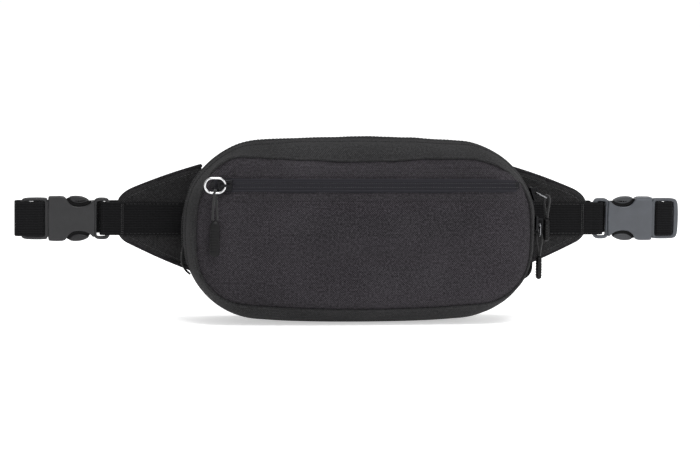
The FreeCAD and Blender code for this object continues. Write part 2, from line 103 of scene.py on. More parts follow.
class Nodes:
    """Short names for the shader nodes that the materials share."""

    def __init__(self, name, roughness, metallic=0.0, sheen=0.0, sheen_roughness=0.4, coat=0.0, specular=0.5):
        self.material = bpy.data.materials.new(name)
        self.material.use_nodes = True
        self.tree = self.material.node_tree
        self.shader = self.tree.nodes["Principled BSDF"]
        self.shader.inputs["Roughness"].default_value = roughness
        self.shader.inputs["Metallic"].default_value = metallic
        self.shader.inputs["Sheen Weight"].default_value = sheen
        self.shader.inputs["Sheen Roughness"].default_value = sheen_roughness
        self.shader.inputs["Coat Weight"].default_value = coat
        self.shader.inputs["Specular IOR Level"].default_value = specular

    def node(self, kind, **values):
        made = self.tree.nodes.new(kind)
        for key, value in values.items():
            setattr(made, key, value)
        return made

    def link(self, source, target):
        self.tree.links.new(source, target)

    def math(self, operation, a, b=None):
        made = self.node("ShaderNodeMath", operation=operation)
        for socket, value in zip(made.inputs, (a, b)):
            if isinstance(value, (int, float)):
                socket.default_value = value
            elif value is not None:
                self.link(value, socket)
        return made.outputs[0]

    def add(self, a, b):
        return self.math("ADD", a, b)

    def minus(self, a, b):
        return self.math("SUBTRACT", a, b)

    def times(self, a, b):
        return self.math("MULTIPLY", a, b)

    def mix(self, a, weight_a, b, weight_b):
        """Weighted sum of two values."""
        return self.add(self.times(a, weight_a), self.times(b, weight_b))

    def lay(self):
        """The piece's own cloth coordinates in metres, along and across the threads."""
        source = self.node("ShaderNodeAttribute", attribute_name="lay")
        split = self.node("ShaderNodeSeparateXYZ")
        self.link(source.outputs["Vector"], split.inputs[0])
        return source.outputs["Vector"], split.outputs[0], split.outputs[1]

    def wave(self, coordinate, pitch):
        return self.math("SINE", self.times(coordinate, math.pi / pitch))

    def noise(self, vector, scale, detail=3.0, rough=0.6):
        made = self.node("ShaderNodeTexNoise")
        made.inputs["Scale"].default_value = scale
        made.inputs["Detail"].default_value = detail
        made.inputs["Roughness"].default_value = rough
        self.link(vector, made.inputs["Vector"])
        return made.outputs["Fac"]

    def ramp(self, factor, stops):
        made = self.node("ShaderNodeValToRGB")
        elements = made.color_ramp.elements
        while len(elements) < len(stops):
            elements.new(0.5)
        for element, (position, value) in zip(elements, stops):
            element.position = position
            colour = value if isinstance(value, tuple) else (value, value, value)
            element.color = (*colour, 1.0)
        self.link(factor, made.inputs[0])
        return made.outputs[0]

    def bump(self, height, strength, distance, below=None):
        made = self.node("ShaderNodeBump")
        made.inputs["Strength"].default_value = strength
        made.inputs["Distance"].default_value = distance
        self.link(height, made.inputs["Height"])
        if below is not None:
            self.link(below, made.inputs["Normal"])
        return made.outputs["Normal"]

    def place(self):
        """Position on the piece, for dirt, fade and scratches."""
        return self.node("ShaderNodeTexCoord").outputs["Object"]

    def worn_edge(self, full):
        """0 on flat faces and 1 on edges, where the piece rubs."""
        return self.ramp(self.node("ShaderNodeNewGeometry").outputs["Pointiness"], [(0.5, 0.0), (full, 1.0)])

    def paint(self, tone, colour, low, high, places):
        """Base colour from a tone: darker, plain and lighter at the three places."""
        dark = tuple(c * low for c in colour)
        light = tuple(c * high for c in colour)
        ramp = self.ramp(tone, list(zip(places, (dark, colour, light))))
        self.link(ramp, self.shader.inputs["Base Color"])

    def relief(self, height, strength, distance, below=None):
        self.link(self.bump(height, strength, distance, below), self.shader.inputs["Normal"])


def woven(name, colour, pitch, depth=0.00022, roughness=0.88):
    """Plain weave of spun yarn: over-and-under bumps, uneven threads, a soft fade and a little fuzz."""
    n = Nodes(name, roughness, sheen=0.03, sheen_roughness=0.45, specular=0.08)
    vector, u, v = n.lay()
    wobble = n.times(n.noise(vector, 900.0, 1.0), pitch * 0.35)
    cross = n.times(n.wave(n.add(u, wobble), pitch), n.wave(n.add(v, wobble), pitch))
    yarn = n.noise(vector, 1.6 / pitch, 2.0, 0.7)
    mottle = n.noise(vector, 620.0, 2.0, 0.7)
    tone = n.add(n.mix(cross, 0.14, yarn, 0.45), n.times(mottle, 0.62))
    fade = n.times(n.minus(n.noise(n.place(), 16.0, 4.0), 0.5), 0.22)
    n.paint(n.add(tone, fade), colour, 0.42, 2.1, (0.38, 0.53, 0.68))
    soft = n.bump(n.noise(n.place(), 55.0, 3.0), 0.35, 0.0012)
    n.relief(n.mix(cross, 0.55, yarn, 0.9), 0.85, depth, soft)
    return n.material


def strap(name, colour, rib=0.0019, depth=0.0005, across=0.0011):
    """Belt webbing: ribs along the run, crossed by finer picks, with painted shade darkening the hollows between
    them.
    """
    n = Nodes(name, 0.72, sheen=0.02, specular=0.07)
    vector, u, v = n.lay()
    wave = n.wave(v, rib)
    row = n.times(n.math("SIGN", wave), across * 0.5)
    picks = n.math("ABSOLUTE", n.wave(n.add(u, row), across))
    height = n.mix(n.math("ABSOLUTE", wave), 0.9, picks, 0.45)
    grain = n.noise(vector, 1400.0, 2.0)
    # The colour follows the rib height, so the hollows get painted shade.
    n.paint(n.mix(height, 0.6, grain, 0.35), colour, 0.35, 1.5, (0.15, 0.6, 0.95))
    n.relief(height, 0.9, depth, n.bump(grain, 0.3, 0.0002))
    return n.material


def airmesh(name, colour):
    """Spacer mesh: round eyelets in staggered rows over a darker ground."""
    n = Nodes(name, 0.85, sheen=0.08, specular=0.15)
    vector, u, v = n.lay()
    half_u = n.times(u, 0.5)
    slant_v = n.times(v, 0.866)
    pitch = 0.0016
    slants = n.add(n.wave(n.add(half_u, slant_v), pitch), n.wave(n.minus(half_u, slant_v), pitch))
    holes = n.add(slants, n.wave(u, pitch))
    height = n.mix(holes, 0.4, n.noise(vector, 1100.0, 2.0), 0.3)
    n.paint(height, colour, 0.25, 1.5, (0.0, 0.35, 0.8))
    n.relief(height, 0.9, 0.0006, n.bump(n.noise(n.place(), 40.0), 0.3, 0.001))
    return n.material


def moulded(name, colour, roughness, specular):
    """Moulded plastic with a fine matt grain, worn a little lighter on its edges."""
    n = Nodes(name, roughness, specular=specular, coat=0.04)
    place = n.place()
    tone = n.mix(n.worn_edge(0.62), 0.4, n.noise(place, 120.0, 4.0), 0.6)
    n.paint(tone, colour, 0.78, 1.55, (0.15, 0.45, 0.85))
    rough = n.ramp(n.noise(place, 260.0, 3.0), [(0.3, roughness - 0.08), (0.7, roughness + 0.08)])
    n.link(rough, n.shader.inputs["Roughness"])
    n.relief(n.noise(place, 3800.0, 2.0), 0.35, 0.00005)
    return n.material


def metal(name, colour, roughness, wear):
    """Plated or enamelled zinc with hairline scratches, lighter where it rubs."""
    n = Nodes(name, roughness, metallic=1.0)
    place = n.place()
    tone = n.mix(n.worn_edge(0.66), wear, n.noise(place, 420.0, 4.0), 0.5)
    n.paint(tone, colour, 0.7, 1.5, (0.1, 0.4, 0.95))
    rough = n.ramp(n.noise(place, 900.0, 5.0), [(0.3, roughness * 0.7), (0.75, roughness * 1.4)])
    n.link(rough, n.shader.inputs["Roughness"])
    n.relief(n.noise(place, 2600.0, 3.0), 0.12, 0.00005)
    return n.material


def braided(name, colour):
    """Braided cord: fine diagonal strands."""
    n = Nodes(name, 0.7, sheen=0.2, specular=0.35)
    place = n.place()
    split = n.node("ShaderNodeSeparateXYZ")
    n.link(place, split.inputs[0])
    lean = n.times(split.outputs[0], 1.2)
    pitch = 0.0007
    strands = n.times(n.wave(n.add(split.outputs[2], lean), pitch), n.wave(n.minus(split.outputs[2], lean), pitch))
    grain = n.add(n.times(strands, 0.4), n.noise(place, 1500.0, 2.0))
    n.paint(grain, colour, 0.5, 1.6, (0.2, 0.5, 0.9))
    n.relief(grain, 0.8, 0.0002)
    return n.material


PANEL_CLOTH = woven("panel cloth", (0.0205, 0.0186, 0.0212), 0.00085)
GUSSET_CLOTH = woven("gusset cloth", (0.0168, 0.0166, 0.0172), 0.00085)
WING_CLOTH = woven("wing cloth", (0.0128, 0.0126, 0.0130), 0.00085)
PIPING_CLOTH = woven("piping cloth", (0.0110, 0.0105, 0.0114), 0.0007)
LINING_CLOTH = woven("lining cloth", (0.05, 0.05, 0.053), 0.0005, depth=0.0001, roughness=0.6)
WEBBING = strap("belt webbing", (0.0046, 0.0046, 0.0050))
TAPE = strap("zip tape", (0.0068, 0.0066, 0.0073), rib=0.0009, depth=0.0002, across=0.0006)
FRONT_TAPE = strap("front zip tape", (0.0150, 0.0146, 0.0176), rib=0.0012, depth=0.0003, across=0.0009)
ELASTIC = strap("elastic", (0.0060, 0.0060, 0.0064), rib=0.0012, depth=0.0004, across=0.0008)
BACK_MESH = airmesh("back mesh", (0.018, 0.018, 0.020))
THREAD = braided("sewing thread", (0.016, 0.016, 0.017))
PULL_CORD = braided("pull cord", (0.0105, 0.0105, 0.0110))
GRIP_RUBBER = moulded("pull grip", (0.0036, 0.0035, 0.0038), 0.55, 0.15)
BUCKLE_DARK = moulded("buckle dark", (0.0165, 0.0165, 0.0176), 0.4, 0.28)
BUCKLE_GREY = moulded("buckle grey", (0.0560, 0.0605, 0.0690), 0.36, 0.34)
# The button materials are darker copies of the buckle plastics: painted shade for button faces that tilt away from
# the light.
BUTTON_DARK_SHADED = moulded("button dark shaded", (0.0110, 0.0110, 0.0118), 0.45, 0.26)
BUTTON_GREY_SHADED = moulded("button grey shaded", (0.0330, 0.0345, 0.0375), 0.45, 0.3)
# Near-black plastic for the arm bars: painted shade standing for the deep shade in the gap round each button.
ARM_PAINTED_SHADE = moulded("arm painted shade", (0.0030, 0.0030, 0.0032), 0.6, 0.1)
TAB_TAPE = strap("tab tape", (0.0150, 0.0150, 0.0155), rib=0.0012, depth=0.0003, across=0.0009)
SLIDER_METAL = metal("slider metal", (0.014, 0.014, 0.015), 0.3, 0.5)
RING_METAL = metal("ring metal", (0.66, 0.66, 0.67), 0.2, 0.4)
# A darker copy of the ring metal for the side pulls: painted shade on the same metal.
SHADED_RING_METAL = metal("shaded ring metal", (0.22, 0.22, 0.23), 0.25, 0.5)


# ---------------------------------------------------------------- mesh helpers

def finish_piece(obj, body, slot, material, replaces=(), smooth=1):
    obj.data.materials.clear()
    obj.data.materials.append(material)
    if smooth and obj.type == "MESH":
        modifier = obj.modifiers.new("Smooth", "SUBSURF")
        modifier.levels = smooth
        modifier.render_levels = smooth
    if replaces:
        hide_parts(*replaces)
    if body:
        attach(obj, body)
    return obj


def mesh(name, points, faces, lay=None):
    """A mesh object from points in millimetres, with its cloth coordinates in metres."""
    data = bpy.data.meshes.new(name)
    data.from_pydata([tuple(p * MM) for p in points], [], faces)
    data.validate()
    for polygon in data.polygons:
        polygon.use_smooth = True
    if lay:
        layer = data.attributes.new("lay", "FLOAT_VECTOR", "POINT")
        flat = [c for u, v in lay for c in (u * MM, v * MM, 0.0)]
        layer.data.foreach_set("vector", flat)
    obj = bpy.data.objects.new(name, data)
    bpy.context.collection.objects.link(obj)
    return obj


def quads(rows, columns, closed_columns, closed_rows=False, flip=False):
    """Faces of a grid of rows by columns."""
    faces = []
    for r in range(rows if closed_rows else rows - 1):
        for c in range(columns if closed_columns else columns - 1):
            a = r * columns + c
            b = r * columns + (c + 1) % columns
            up = ((r + 1) % rows) * columns
            face = (a, b, up + (c + 1) % columns, up + c)
            faces.append(face[::-1] if flip else face)
    return faces


def tangents(path, closed):
    made = []
    count = len(path)
    for i in range(count):
        before = path[(i - 1) % count] if closed or i > 0 else path[i]
        after = path[(i + 1) % count] if closed or i < count - 1 else path[i]
        made.append((after - before).normalized())
    return made


def spread(a, b, count):
    return [a + (b - a) * i / (count - 1) for i in range(count)]


def lengths(path):
    """Distance along a line at each of its points."""
    made = [0.0]
    for a, b in zip(path, path[1:]):
        made.append(made[-1] + (b - a).length)
    return made


def stations(run, count):
    """Segment and fraction of count + 1 evenly spaced places on a line with these distances."""
    i = 0
    for k in range(count + 1):
        at = run[-1] * k / count
        while i < len(run) - 2 and run[i + 1] < at:
            i += 1
        yield i, (at - run[i]) / max(run[i + 1] - run[i], 1e-9)


def even(points, count):
    """The same line as count + 1 points at even spacing."""
    return [points[i].lerp(points[i + 1], t) for i, t in stations(lengths(points), count)]


def tube(rows, around, closed_rows=False):
    """Faces of rows of points round a bar, with its two ends unless it closes on itself."""
    faces = quads(rows, around, True, closed_rows)
    if not closed_rows:
        faces.append(tuple(range(around))[::-1])
        faces.append(tuple(range((rows - 1) * around, rows * around)))
    return faces


def joined(parts):
    """Points and faces of several parts as one."""
    points = []
    faces = []
    for more, sides in parts:
        faces += [tuple(i + len(points) for i in face) for face in sides]
        points += more
    return points, faces


def on_ground(ground, spot, normal, above, reach):
    """The ground under a spot, or the spot itself where there is none."""
    hit = ground.ray_cast(spot + normal * above, -normal, reach)[0]
    return hit if hit is not None else spot


def sweep(name, path, normals, profile, closed=False, ground=None):
    """A closed profile of (across, out) points carried along a path, laid on the ground mesh if given."""
    run = lengths(path)
    around = lengths([Vector((a, h, 0)) for a, h in profile])
    points = []
    lay = []
    for point, normal, along, u in zip(path, normals, tangents(path, closed), run):
        side = along.cross(normal).normalized()
        for (a, h), v in zip(profile, around):
            spot = point + side * a
            if ground is not None:
                spot = on_ground(ground, spot, normal, 25.0, 50.0)
            points.append(spot + normal * h)
            lay.append((u, v))
    return mesh(name, points, tube(len(path), len(profile), closed), lay)


def capsule_parts(start, end, radius, sides=6):
    """A small round-ended bar between two points."""
    axis = end - start
    turn = axis.to_track_quat("Z", "Y").to_matrix()
    rings = [(0.0, 0.35), (0.16, 0.9), (0.5, 1.0), (0.84, 0.9), (1.0, 0.35)]
    points = []
    for t, r in rings:
        for k in range(sides):
            angle = 2 * math.pi * k / sides
            local = Vector((math.cos(angle) * radius * r, math.sin(angle) * radius * r, t * axis.length))
            points.append(start + turn @ local)
    return points, tube(len(rings), sides)


def stitches(name, lines, body, pitch=2.8, length=2.0, radius=0.24, ground=None, proud=0.08):
    """Rows of thread stitches, each line given as (path, normals)."""
    parts = []
    for path, normals in lines:
        run = lengths(path)
        laid = []
        for i, t in stations(run, max(2, int(run[-1] / pitch))):
            spot = path[i].lerp(path[i + 1], t)
            normal = normals[i].lerp(normals[i + 1], t).normalized()
            if ground is not None:
                spot = on_ground(ground, spot, normal, 12.0, 30.0)
            laid.append(spot + normal * proud)
        parts += [capsule_parts(a, a + (b - a).normalized() * length, radius) for a, b in zip(laid, laid[1:])]
    return finish_piece(mesh(name, *joined(parts)), body, "webbing", THREAD, smooth=0)


def tree_of(*objects):
    """A search tree over some pieces' faces, in millimetres."""
    graph = bpy.context.evaluated_depsgraph_get()
    parts = []
    for obj in objects:
        shape = obj.evaluated_get(graph).to_mesh()
        parts.append(([v.co / MM for v in shape.vertices], [tuple(p.vertices) for p in shape.polygons]))
    return BVHTree.FromPolygons(*joined(parts))


# ---------------------------------------------------------------- cloth

def inflate(name, points, faces, pins, cap, pressure=4.0, shrink=-0.015):
    """Blows a closed form up as sewn cloth, held at its pins. Returns the points, moved by cap at most."""
    obj = mesh(name, points, faces)
    group = obj.vertex_groups.new(name="pin")
    for i, weight in enumerate(pins):
        if weight > 0:
            group.add([i], weight, "REPLACE")
    cloth = obj.modifiers.new("Cloth", "CLOTH")
    settings = cloth.settings
    settings.quality = 6
    settings.mass = 0.25
    settings.tension_stiffness = 12.0
    settings.compression_stiffness = 12.0
    settings.shear_stiffness = 4.0
    settings.bending_stiffness = 0.6
    settings.use_pressure = True
    settings.uniform_pressure_force = pressure
    settings.shrink_min = shrink
    settings.vertex_group_mass = "pin"
    settings.effector_weights.gravity = 0.0
    cloth.collision_settings.use_collision = False
    scene = bpy.context.scene
    for number in range(1, 21):
        scene.frame_set(number)
    shape = obj.evaluated_get(bpy.context.evaluated_depsgraph_get()).to_mesh()
    moved = [v.co / MM for v in shape.vertices]
    scene.frame_set(1)
    bpy.data.objects.remove(obj)
    result = []
    for before, after in zip(points, moved):
        step = after - before
        if step.length > cap:
            step = step * (cap / step.length)
        result.append(before + step)
    return result


# ---------------------------------------------------------------- bag

def quarter(half_w, half_h, corner):
    """Points of the outline from the top middle to the right middle, close together."""
    top_r = half_w * half_w / (2 * CROWN)
    side_r = half_h * half_h / (2 * CROWN)
    top_c = Vector((0, half_h - top_r))
    side_c = Vector((half_w - side_r, 0))
    between = side_c - top_c
    d = between.length
    r1 = top_r - corner
    r2 = side_r - corner
    along = (r1 * r1 - r2 * r2 + d * d) / (2 * d)
    rise = math.sqrt(r1 * r1 - along * along)
    unit = between / d
    foot = top_c + unit * along
    normal = Vector((-unit.y, unit.x))
    centre = max((foot + normal * rise, foot - normal * rise), key=lambda p: p.x + p.y)
    a0 = math.atan2(centre.y - top_c.y, centre.x - top_c.x)
    a1 = math.atan2(centre.y - side_c.y, centre.x - side_c.x)
    made = [top_c + Vector((math.cos(a), math.sin(a))) * top_r for a in spread(math.pi / 2, a0, 60)]
    made += [centre + Vector((math.cos(a), math.sin(a))) * corner for a in spread(a0, a1, 60)[1:]]
    made += [side_c + Vector((math.cos(a), math.sin(a))) * side_r for a in spread(a1, 0.0, 60)[1:]]
    return made


def outline(y, half_w, half_h, corner):
    """One closed row round the bag, clockwise from the top middle as the front is seen."""
    first = even(quarter(half_w, half_h, corner), COLUMNS // 4)
    flat = first[:-1]
    flat += [Vector((p.x, -p.y)) for p in first[::-1]][:-1]
    flat += [Vector((-p.x, -p.y)) for p in first][:-1]
    flat += [Vector((-p.x, p.y)) for p in first[::-1]][:-1]
    return [Vector((p.x, y, MID_Z + p.y)) for p in flat]


def section_at(y):
    """Half width, half height and corner of the gusset at a depth, on a smooth line through its sections."""
    ys = [s[0] for s in GUSSET_SECTIONS]
    i = max(0, min(len(ys) - 2, sum(1 for v in ys if v <= y) - 1))
    t = (y - ys[i]) / (ys[i + 1] - ys[i])
    made = []
    for axis in (1, 2, 3):
        values = [s[axis] for s in GUSSET_SECTIONS]

        def slope(k):
            lo = max(0, k - 1)
            hi = min(len(values) - 1, k + 1)
            return (values[hi] - values[lo]) / (ys[hi] - ys[lo])

        width = ys[i + 1] - ys[i]
        h00 = 2 * t ** 3 - 3 * t ** 2 + 1
        h10 = t ** 3 - 2 * t ** 2 + t
        h01 = -2 * t ** 3 + 3 * t ** 2
        h11 = t ** 3 - t ** 2
        value = h00 * values[i] + h10 * width * slope(i) + h01 * values[i + 1] + h11 * width * slope(i + 1)
        made.append(value)
    return made


def towards_middle(row, k, y, reach):
    """A row drawn in towards the line along the bag's middle height."""
    made = []
    for p in row:
        middle = Vector((max(-reach, min(reach, p.x * reach / PANEL_SECTION[1])), y, MID_Z))
        made.append(Vector((p.x, y, p.z)).lerp(middle, k))
    return made


def sway(p, y):
    """The front seam's uneven top, fading out down the panel and over the gusset."""
    if p.z <= MID_Z or y > -19.0:
        return 0.0
    i = max(0, min(len(SEAM_SWAY) - 2, sum(1 for x, _ in SEAM_SWAY if x <= p.x) - 1))
    (x0, a), (x1, b) = SEAM_SWAY[i], SEAM_SWAY[i + 1]
    t = max(0.0, min(1.0, (p.x - x0) / (x1 - x0)))
    t = t * t * (3 - 2 * t)
    high = min(1.0, (p.z - MID_Z) / 50.0) ** 1.6
    over = 1.0 if y <= -31.0 else max(0.0, (-19.0 - y) / 12.0) ** 1.5
    return (a + (b - a) * t) * high * over


FRONT_RINGS = [1.0, 0.93, 0.84, 0.75, 0.66, 0.57, 0.48, 0.4, 0.32, 0.24, 0.16, 0.08]
GUSSET_YS = [-30.5, -28.0, -25.0, -22.0, -19.0, -16.0, -13.0, -10.5, -8.0, -6.0, -4.0, -2.0, 0.0,
             2.5, 5.0, 8.0, 11.0, 14.0, 17.0, 20.0, 23.0, 26.0, 29.0, 31.0]
BACK_RINGS = [0.05, 0.15, 0.3, 0.45, 0.6, 0.75, 0.9, 1.0]


def bag_rows():
    """Rows from the middle of the front panel, over the seam and the gusset, to the middle of the back."""
    rows = []
    inner = outline(*PANEL_SECTION)
    for k in FRONT_RINGS:
        rows.append(towards_middle(inner, k, PANEL_SECTION[0], 69.0))
    rows.append(inner)
    between = [tuple(a + (b - a) * t for a, b in zip(PANEL_SECTION, PANEL_BEND)) for t in (0.4, 0.75)]
    between.append(PANEL_BEND)
    between += [tuple(a + (b - a) * t for a, b in zip(PANEL_BEND, FRONT_SEAM)) for t in (0.35, 0.7)]
    rows += [outline(*s) for s in between]
    rows.append(outline(*FRONT_SEAM))
    seam = len(rows) - 1
    for y in GUSSET_YS:
        rows.append(outline(y, *section_at(y)))
    back_seam = len(rows) - 1
    back = outline(BACK_Y, *section_at(GUSSET_YS[-1]))
    for k in BACK_RINGS:
        rows.append(towards_middle(back, k, BACK_Y, 69.0))
    for row in rows:
        for p in row:
            p.z += sway(p, p.y)
    return rows, seam, back_seam


def row_of(y, seam):
    return seam + 1 + GUSSET_YS.index(y)


def soft_base(p):
    """Presses the bottom flat where it stands."""
    if p.z < BASE_SOFT:
        p.z = BASE_SOFT * math.exp((p.z - BASE_SOFT) / BASE_SOFT * 1.6)


def zip_nearness(p):
    """1 on the front zip's band and 0 well away from it."""
    away = max(0.0, abs(p.z - FRONT_ZIP_Z) - 6.0) / 5.0
    end = max(0.0, abs(p.x) - 112.0) / 8.0
    return max(0.0, 1.0 - math.hypot(away, end)) if p.y < -30.0 else 0.0


def crumple(p, seed, size, amount):
    return noise.noise(Vector((p.x / size + seed, p.y / size, p.z / size - seed))) * amount


def middle_faces(base, flip):
    """Faces that close the row starting at base across the bag's middle line."""
    half = COLUMNS // 2
    made = []
    for c in range(COLUMNS // 4, COLUMNS // 4 + half):
        face = (c, (half - c) % COLUMNS, (half - c - 1) % COLUMNS, (c + 1) % COLUMNS)
        unique = tuple(dict.fromkeys(base + i for i in face))
        if len(unique) > 2:
            made.append(unique if flip else unique[::-1])
    return made


def bag_form():
    """The bag as one blown-up cloth form, as rows of points."""
    rows, seam, back_seam = bag_rows()
    zip_rows = [row_of(y, seam) for y in (-8.0, -6.0, -4.0, -2.0, 0.0)]
    points = []
    pins = []
    for r, row in enumerate(rows):
        for p in row:
            q = p.copy()
            q.z = MID_Z + (q.z - MID_Z) * (1.0 - START_SMALLER / 70.0)
            q.x = q.x * (1.0 - START_SMALLER / 130.0)
            near = zip_nearness(q)
            if near > 0:
                q.y = q.y + (ZIP_FLOOR_Y - q.y) * near
            soft_base(q)
            points.append(q)
            weight = 0.0
            if r in (seam, back_seam):
                weight = 1.0
            elif r in zip_rows and p.z > MAIN_ZIP_END_Z:
                weight = 0.9
            elif near > 0.5:
                weight = 0.95
            elif q.z < 1.2:
                weight = 0.6
            pins.append(weight)
    faces = quads(len(rows), COLUMNS, True) + middle_faces(0, False)
    faces += middle_faces((len(rows) - 1) * COLUMNS, True)
    moved = inflate("bag_form", points, faces, pins, 3.2)
    for i, p in enumerate(moved):
        r = i // COLUMNS
        start = points[i]
        p.z = max(p.z, 0.15)
        if start.y < -33.0:
            calm = 1.0 - zip_nearness(start)
            p.y = max(p.y, -40.3)
            p.y += (crumple(start, 3.1, 34.0, 1.1) + crumple(start, 8.4, 13.0, 0.35)) * calm
            p.y = max(p.y, -40.4)
        elif r not in zip_rows and abs(r - seam) > 1 and start.z > 3.0:
            out = Vector((start.x / 130.0, 0.0, (start.z - MID_Z) / 66.0)).normalized()
            p += out * (crumple(start, 5.7, 26.0, 1.0) + crumple(start, 1.9, 11.0, 0.35))
    grid = [moved[r * COLUMNS:(r + 1) * COLUMNS] for r in range(len(rows))]
    return grid, seam, back_seam, BVHTree.FromPolygons(moved, faces)


def cut_grid(name, grid, columns):
    """A piece of the bag: some rows and columns of its form."""
    rows = [[row[c % COLUMNS] for c in columns] for row in grid]
    along = lengths(rows[len(rows) // 2])
    lay = [(u, v) for v in lengths([row[0] for row in rows]) for u in along]
    return mesh(name, [p for row in rows for p in row], quads(len(rows), len(columns), False), lay)


GRID, SEAM_ROW, BACK_ROW, BAG_TREE = bag_form()


def end_column():
    """The column where the main zip ends on the right side."""
    row = GRID[row_of(-4.0, SEAM_ROW)]
    return next(c for c in range(COLUMNS // 8, COLUMNS // 2) if row[c].z < MAIN_ZIP_END_Z)


END = end_column()
TOP_COLUMNS = list(range(COLUMNS - END, COLUMNS)) + list(range(0, END + 1))
LOW_COLUMNS = list(range(END, COLUMNS - END + 1))
ZIP_LOW_ROW = row_of(-8.0, SEAM_ROW)
ZIP_ROW = row_of(-4.0, SEAM_ROW)
ZIP_HIGH_ROW = row_of(0.0, SEAM_ROW)


def close_middle(name, grid, flip):
    """A whole panel, closed along its middle line."""
    points = [p for row in grid for p in row]
    faces = quads(len(grid), COLUMNS, True) + middle_faces((len(grid) - 1) * COLUMNS if flip else 0, flip)
    return mesh(name, points, faces, [(p.x, p.z) for p in points])


def bag_pieces():
    front = close_middle("front_panel_cloth", GRID[:SEAM_ROW + 1], False)
    finish_piece(front, "pack", "shell_fabric", PANEL_CLOTH, ("front_panel_lower", "front_panel_upper"))
    cloth = ("gusset_fabric", GUSSET_CLOTH)
    cuts = (
        ("gusset_front_cloth", SEAM_ROW, ZIP_LOW_ROW, TOP_COLUMNS, cloth, ("gusset_front",)),
        ("gusset_back_cloth", ZIP_HIGH_ROW, BACK_ROW, TOP_COLUMNS, cloth, ("gusset_back",)),
        ("main_zip_ground", ZIP_LOW_ROW, ZIP_HIGH_ROW, TOP_COLUMNS, ("zip_tape", TAPE), ()),
        ("gusset_bottom_cloth", SEAM_ROW, BACK_ROW, LOW_COLUMNS, cloth, ("gusset_bottom",)),
    )
    forward, rear, _, bottom = [
        finish_piece(cut_grid(name, GRID[first:last + 1], columns), "pack", *look, nodes)
        for name, first, last, columns, look, nodes in cuts]
    back = close_middle("back_panel_cloth", GRID[BACK_ROW:], True)
    finish_piece(back, "pack", "gusset_fabric", GUSSET_CLOTH, ("back_panel",))


def facing_out(normal, away):
    return normal if normal.dot(away) > 0 else -normal


def outward(row, r):
    """Normals of a row round the bag, seen across the gusset."""
    along = tangents(row, True)
    made = []
    for c, t in enumerate(along):
        across = (GRID[min(r + 1, len(GRID) - 1)][c] - GRID[r - 1][c]).normalized()
        made.append(facing_out(t.cross(across).normalized(), Vector((row[c].x, 0, row[c].z - MID_Z))))
    return made


def rim(name, section_y, grow, radius, r, replaces, material):
    """Piping or binding round a seam."""
    made = []
    for c, p in enumerate(GRID[r]):
        out = Vector((p.x / 126.0, 0.0, (p.z - MID_Z) / 62.0)).normalized()
        pucker = math.sin(c * 2.399) * 0.12
        made.append(Vector((p.x, section_y, p.z)) + out * (grow + pucker))
    normals = [Vector((0, -1 if section_y < 0 else 1, 0))] * len(made)
    turns = [2 * math.pi * k / 10 for k in range(10)]
    profile = [(math.cos(a) * radius, math.sin(a) * radius * 1.05) for a in turns]
    cord = sweep(name, made, normals, profile, closed=True)
    finish_piece(cord, "pack", "piping_fabric", material, replaces)


TAPE_PROFILE = [(-8.0, -0.2), (-4.2, 0.05), (-3.4, 0.1), (-2.6, 0.45), (-1.6, 0.62), (-0.5, 0.55), (0.0, 0.0),
                (0.5, 0.55), (1.6, 0.62), (2.6, 0.45), (3.4, 0.1), (4.2, 0.05), (8.0, -0.2), (0.0, -0.9)]


def flap_profile(side, inner, outer, rise):
    """A turned and topstitched fabric edge beside a zip."""
    shape = [
        (inner, -0.3), (inner - 0.15, rise * 0.5), (inner + 0.1, rise * 0.9), (inner + 0.8, rise * 1.05),
        (inner + 1.6, rise), (inner + 2.3, rise * 0.72), (inner + 3.0, rise), (outer - 2.2, rise * 0.8),
        (outer - 0.7, rise * 0.45), (outer, -0.25), (outer - 2.0, -0.8),
    ]
    if side > 0:
        return shape
    return [(-a, h) for a, h in shape][::-1]


def zips():
    def front_line(left, right):
        return [Vector((x, PANEL_SECTION[0], FRONT_ZIP_Z)) for x in spread(left, right, 90)]

    front_path = front_line(-FRONT_ZIP_HALF, FRONT_ZIP_HALF)
    facing = [Vector((0, -1, 0))] * len(front_path)
    front_tape = sweep("front_zip_tape_cloth", front_path, facing, TAPE_PROFILE, ground=BAG_TREE)
    finish_piece(front_tape, "pack", "zip_tape", FRONT_TAPE, ("front_zip_tape",))
    flaps = []
    for label, side, left, right in (("upper", 1, -98.0, 99.0), ("lower", -1, -111.0, 112.0)):
        profile = flap_profile(-side, 6.4, 12.4, 1.15)
        obj = sweep(f"front_zip_edge_{label}", front_line(left, right), facing, profile, ground=BAG_TREE)
        flaps.append(finish_piece(obj, "pack", "shell_fabric", PANEL_CLOTH))
    row = GRID[ZIP_ROW]
    normals = outward(row, ZIP_ROW)
    path = [row[c % COLUMNS] for c in TOP_COLUMNS]
    out = [normals[c % COLUMNS] for c in TOP_COLUMNS]
    main_tape = sweep("main_zip_tape_cloth", path, out, TAPE_PROFILE, ground=BAG_TREE)
    finish_piece(main_tape, "pack", "zip_tape", TAPE, ("main_zip_tape",))
    for label, side in (("front", 1), ("back", -1)):
        obj = sweep(f"main_zip_edge_{label}", path, out, flap_profile(side, 4.2, 10.5, 0.95), ground=BAG_TREE)
        flaps.append(finish_piece(obj, "pack", "gusset_fabric", GUSSET_CLOTH))
    ground = tree_of(*flaps)
    lines = [([Vector((p.x * reach, p.y, p.z + dz)) for p in front_path], facing)
             for dz, reach in ((8.8, 0.86), (-8.8, 0.97))]
    main_lines = [([p + Vector((0, dy, 0)) for p in path], out) for dy in (6.5, -6.5)]
    stitches("front_zip_stitches", lines, "pack", ground=ground)
    stitches("main_zip_stitches", main_lines, "pack", ground=ground)
    tapes = tree_of(front_tape, main_tape)
    fine = []
    for d in (1.5, -1.5):
        fine.append(([p + Vector((0, 0, d)) for p in front_path], facing))
        fine.append(([p + Vector((0, d, 0)) for p in path], out))
    stitches("zip_coil_stitches", fine, "pack", pitch=1.7, length=1.2, radius=0.2, ground=tapes, proud=0.02)


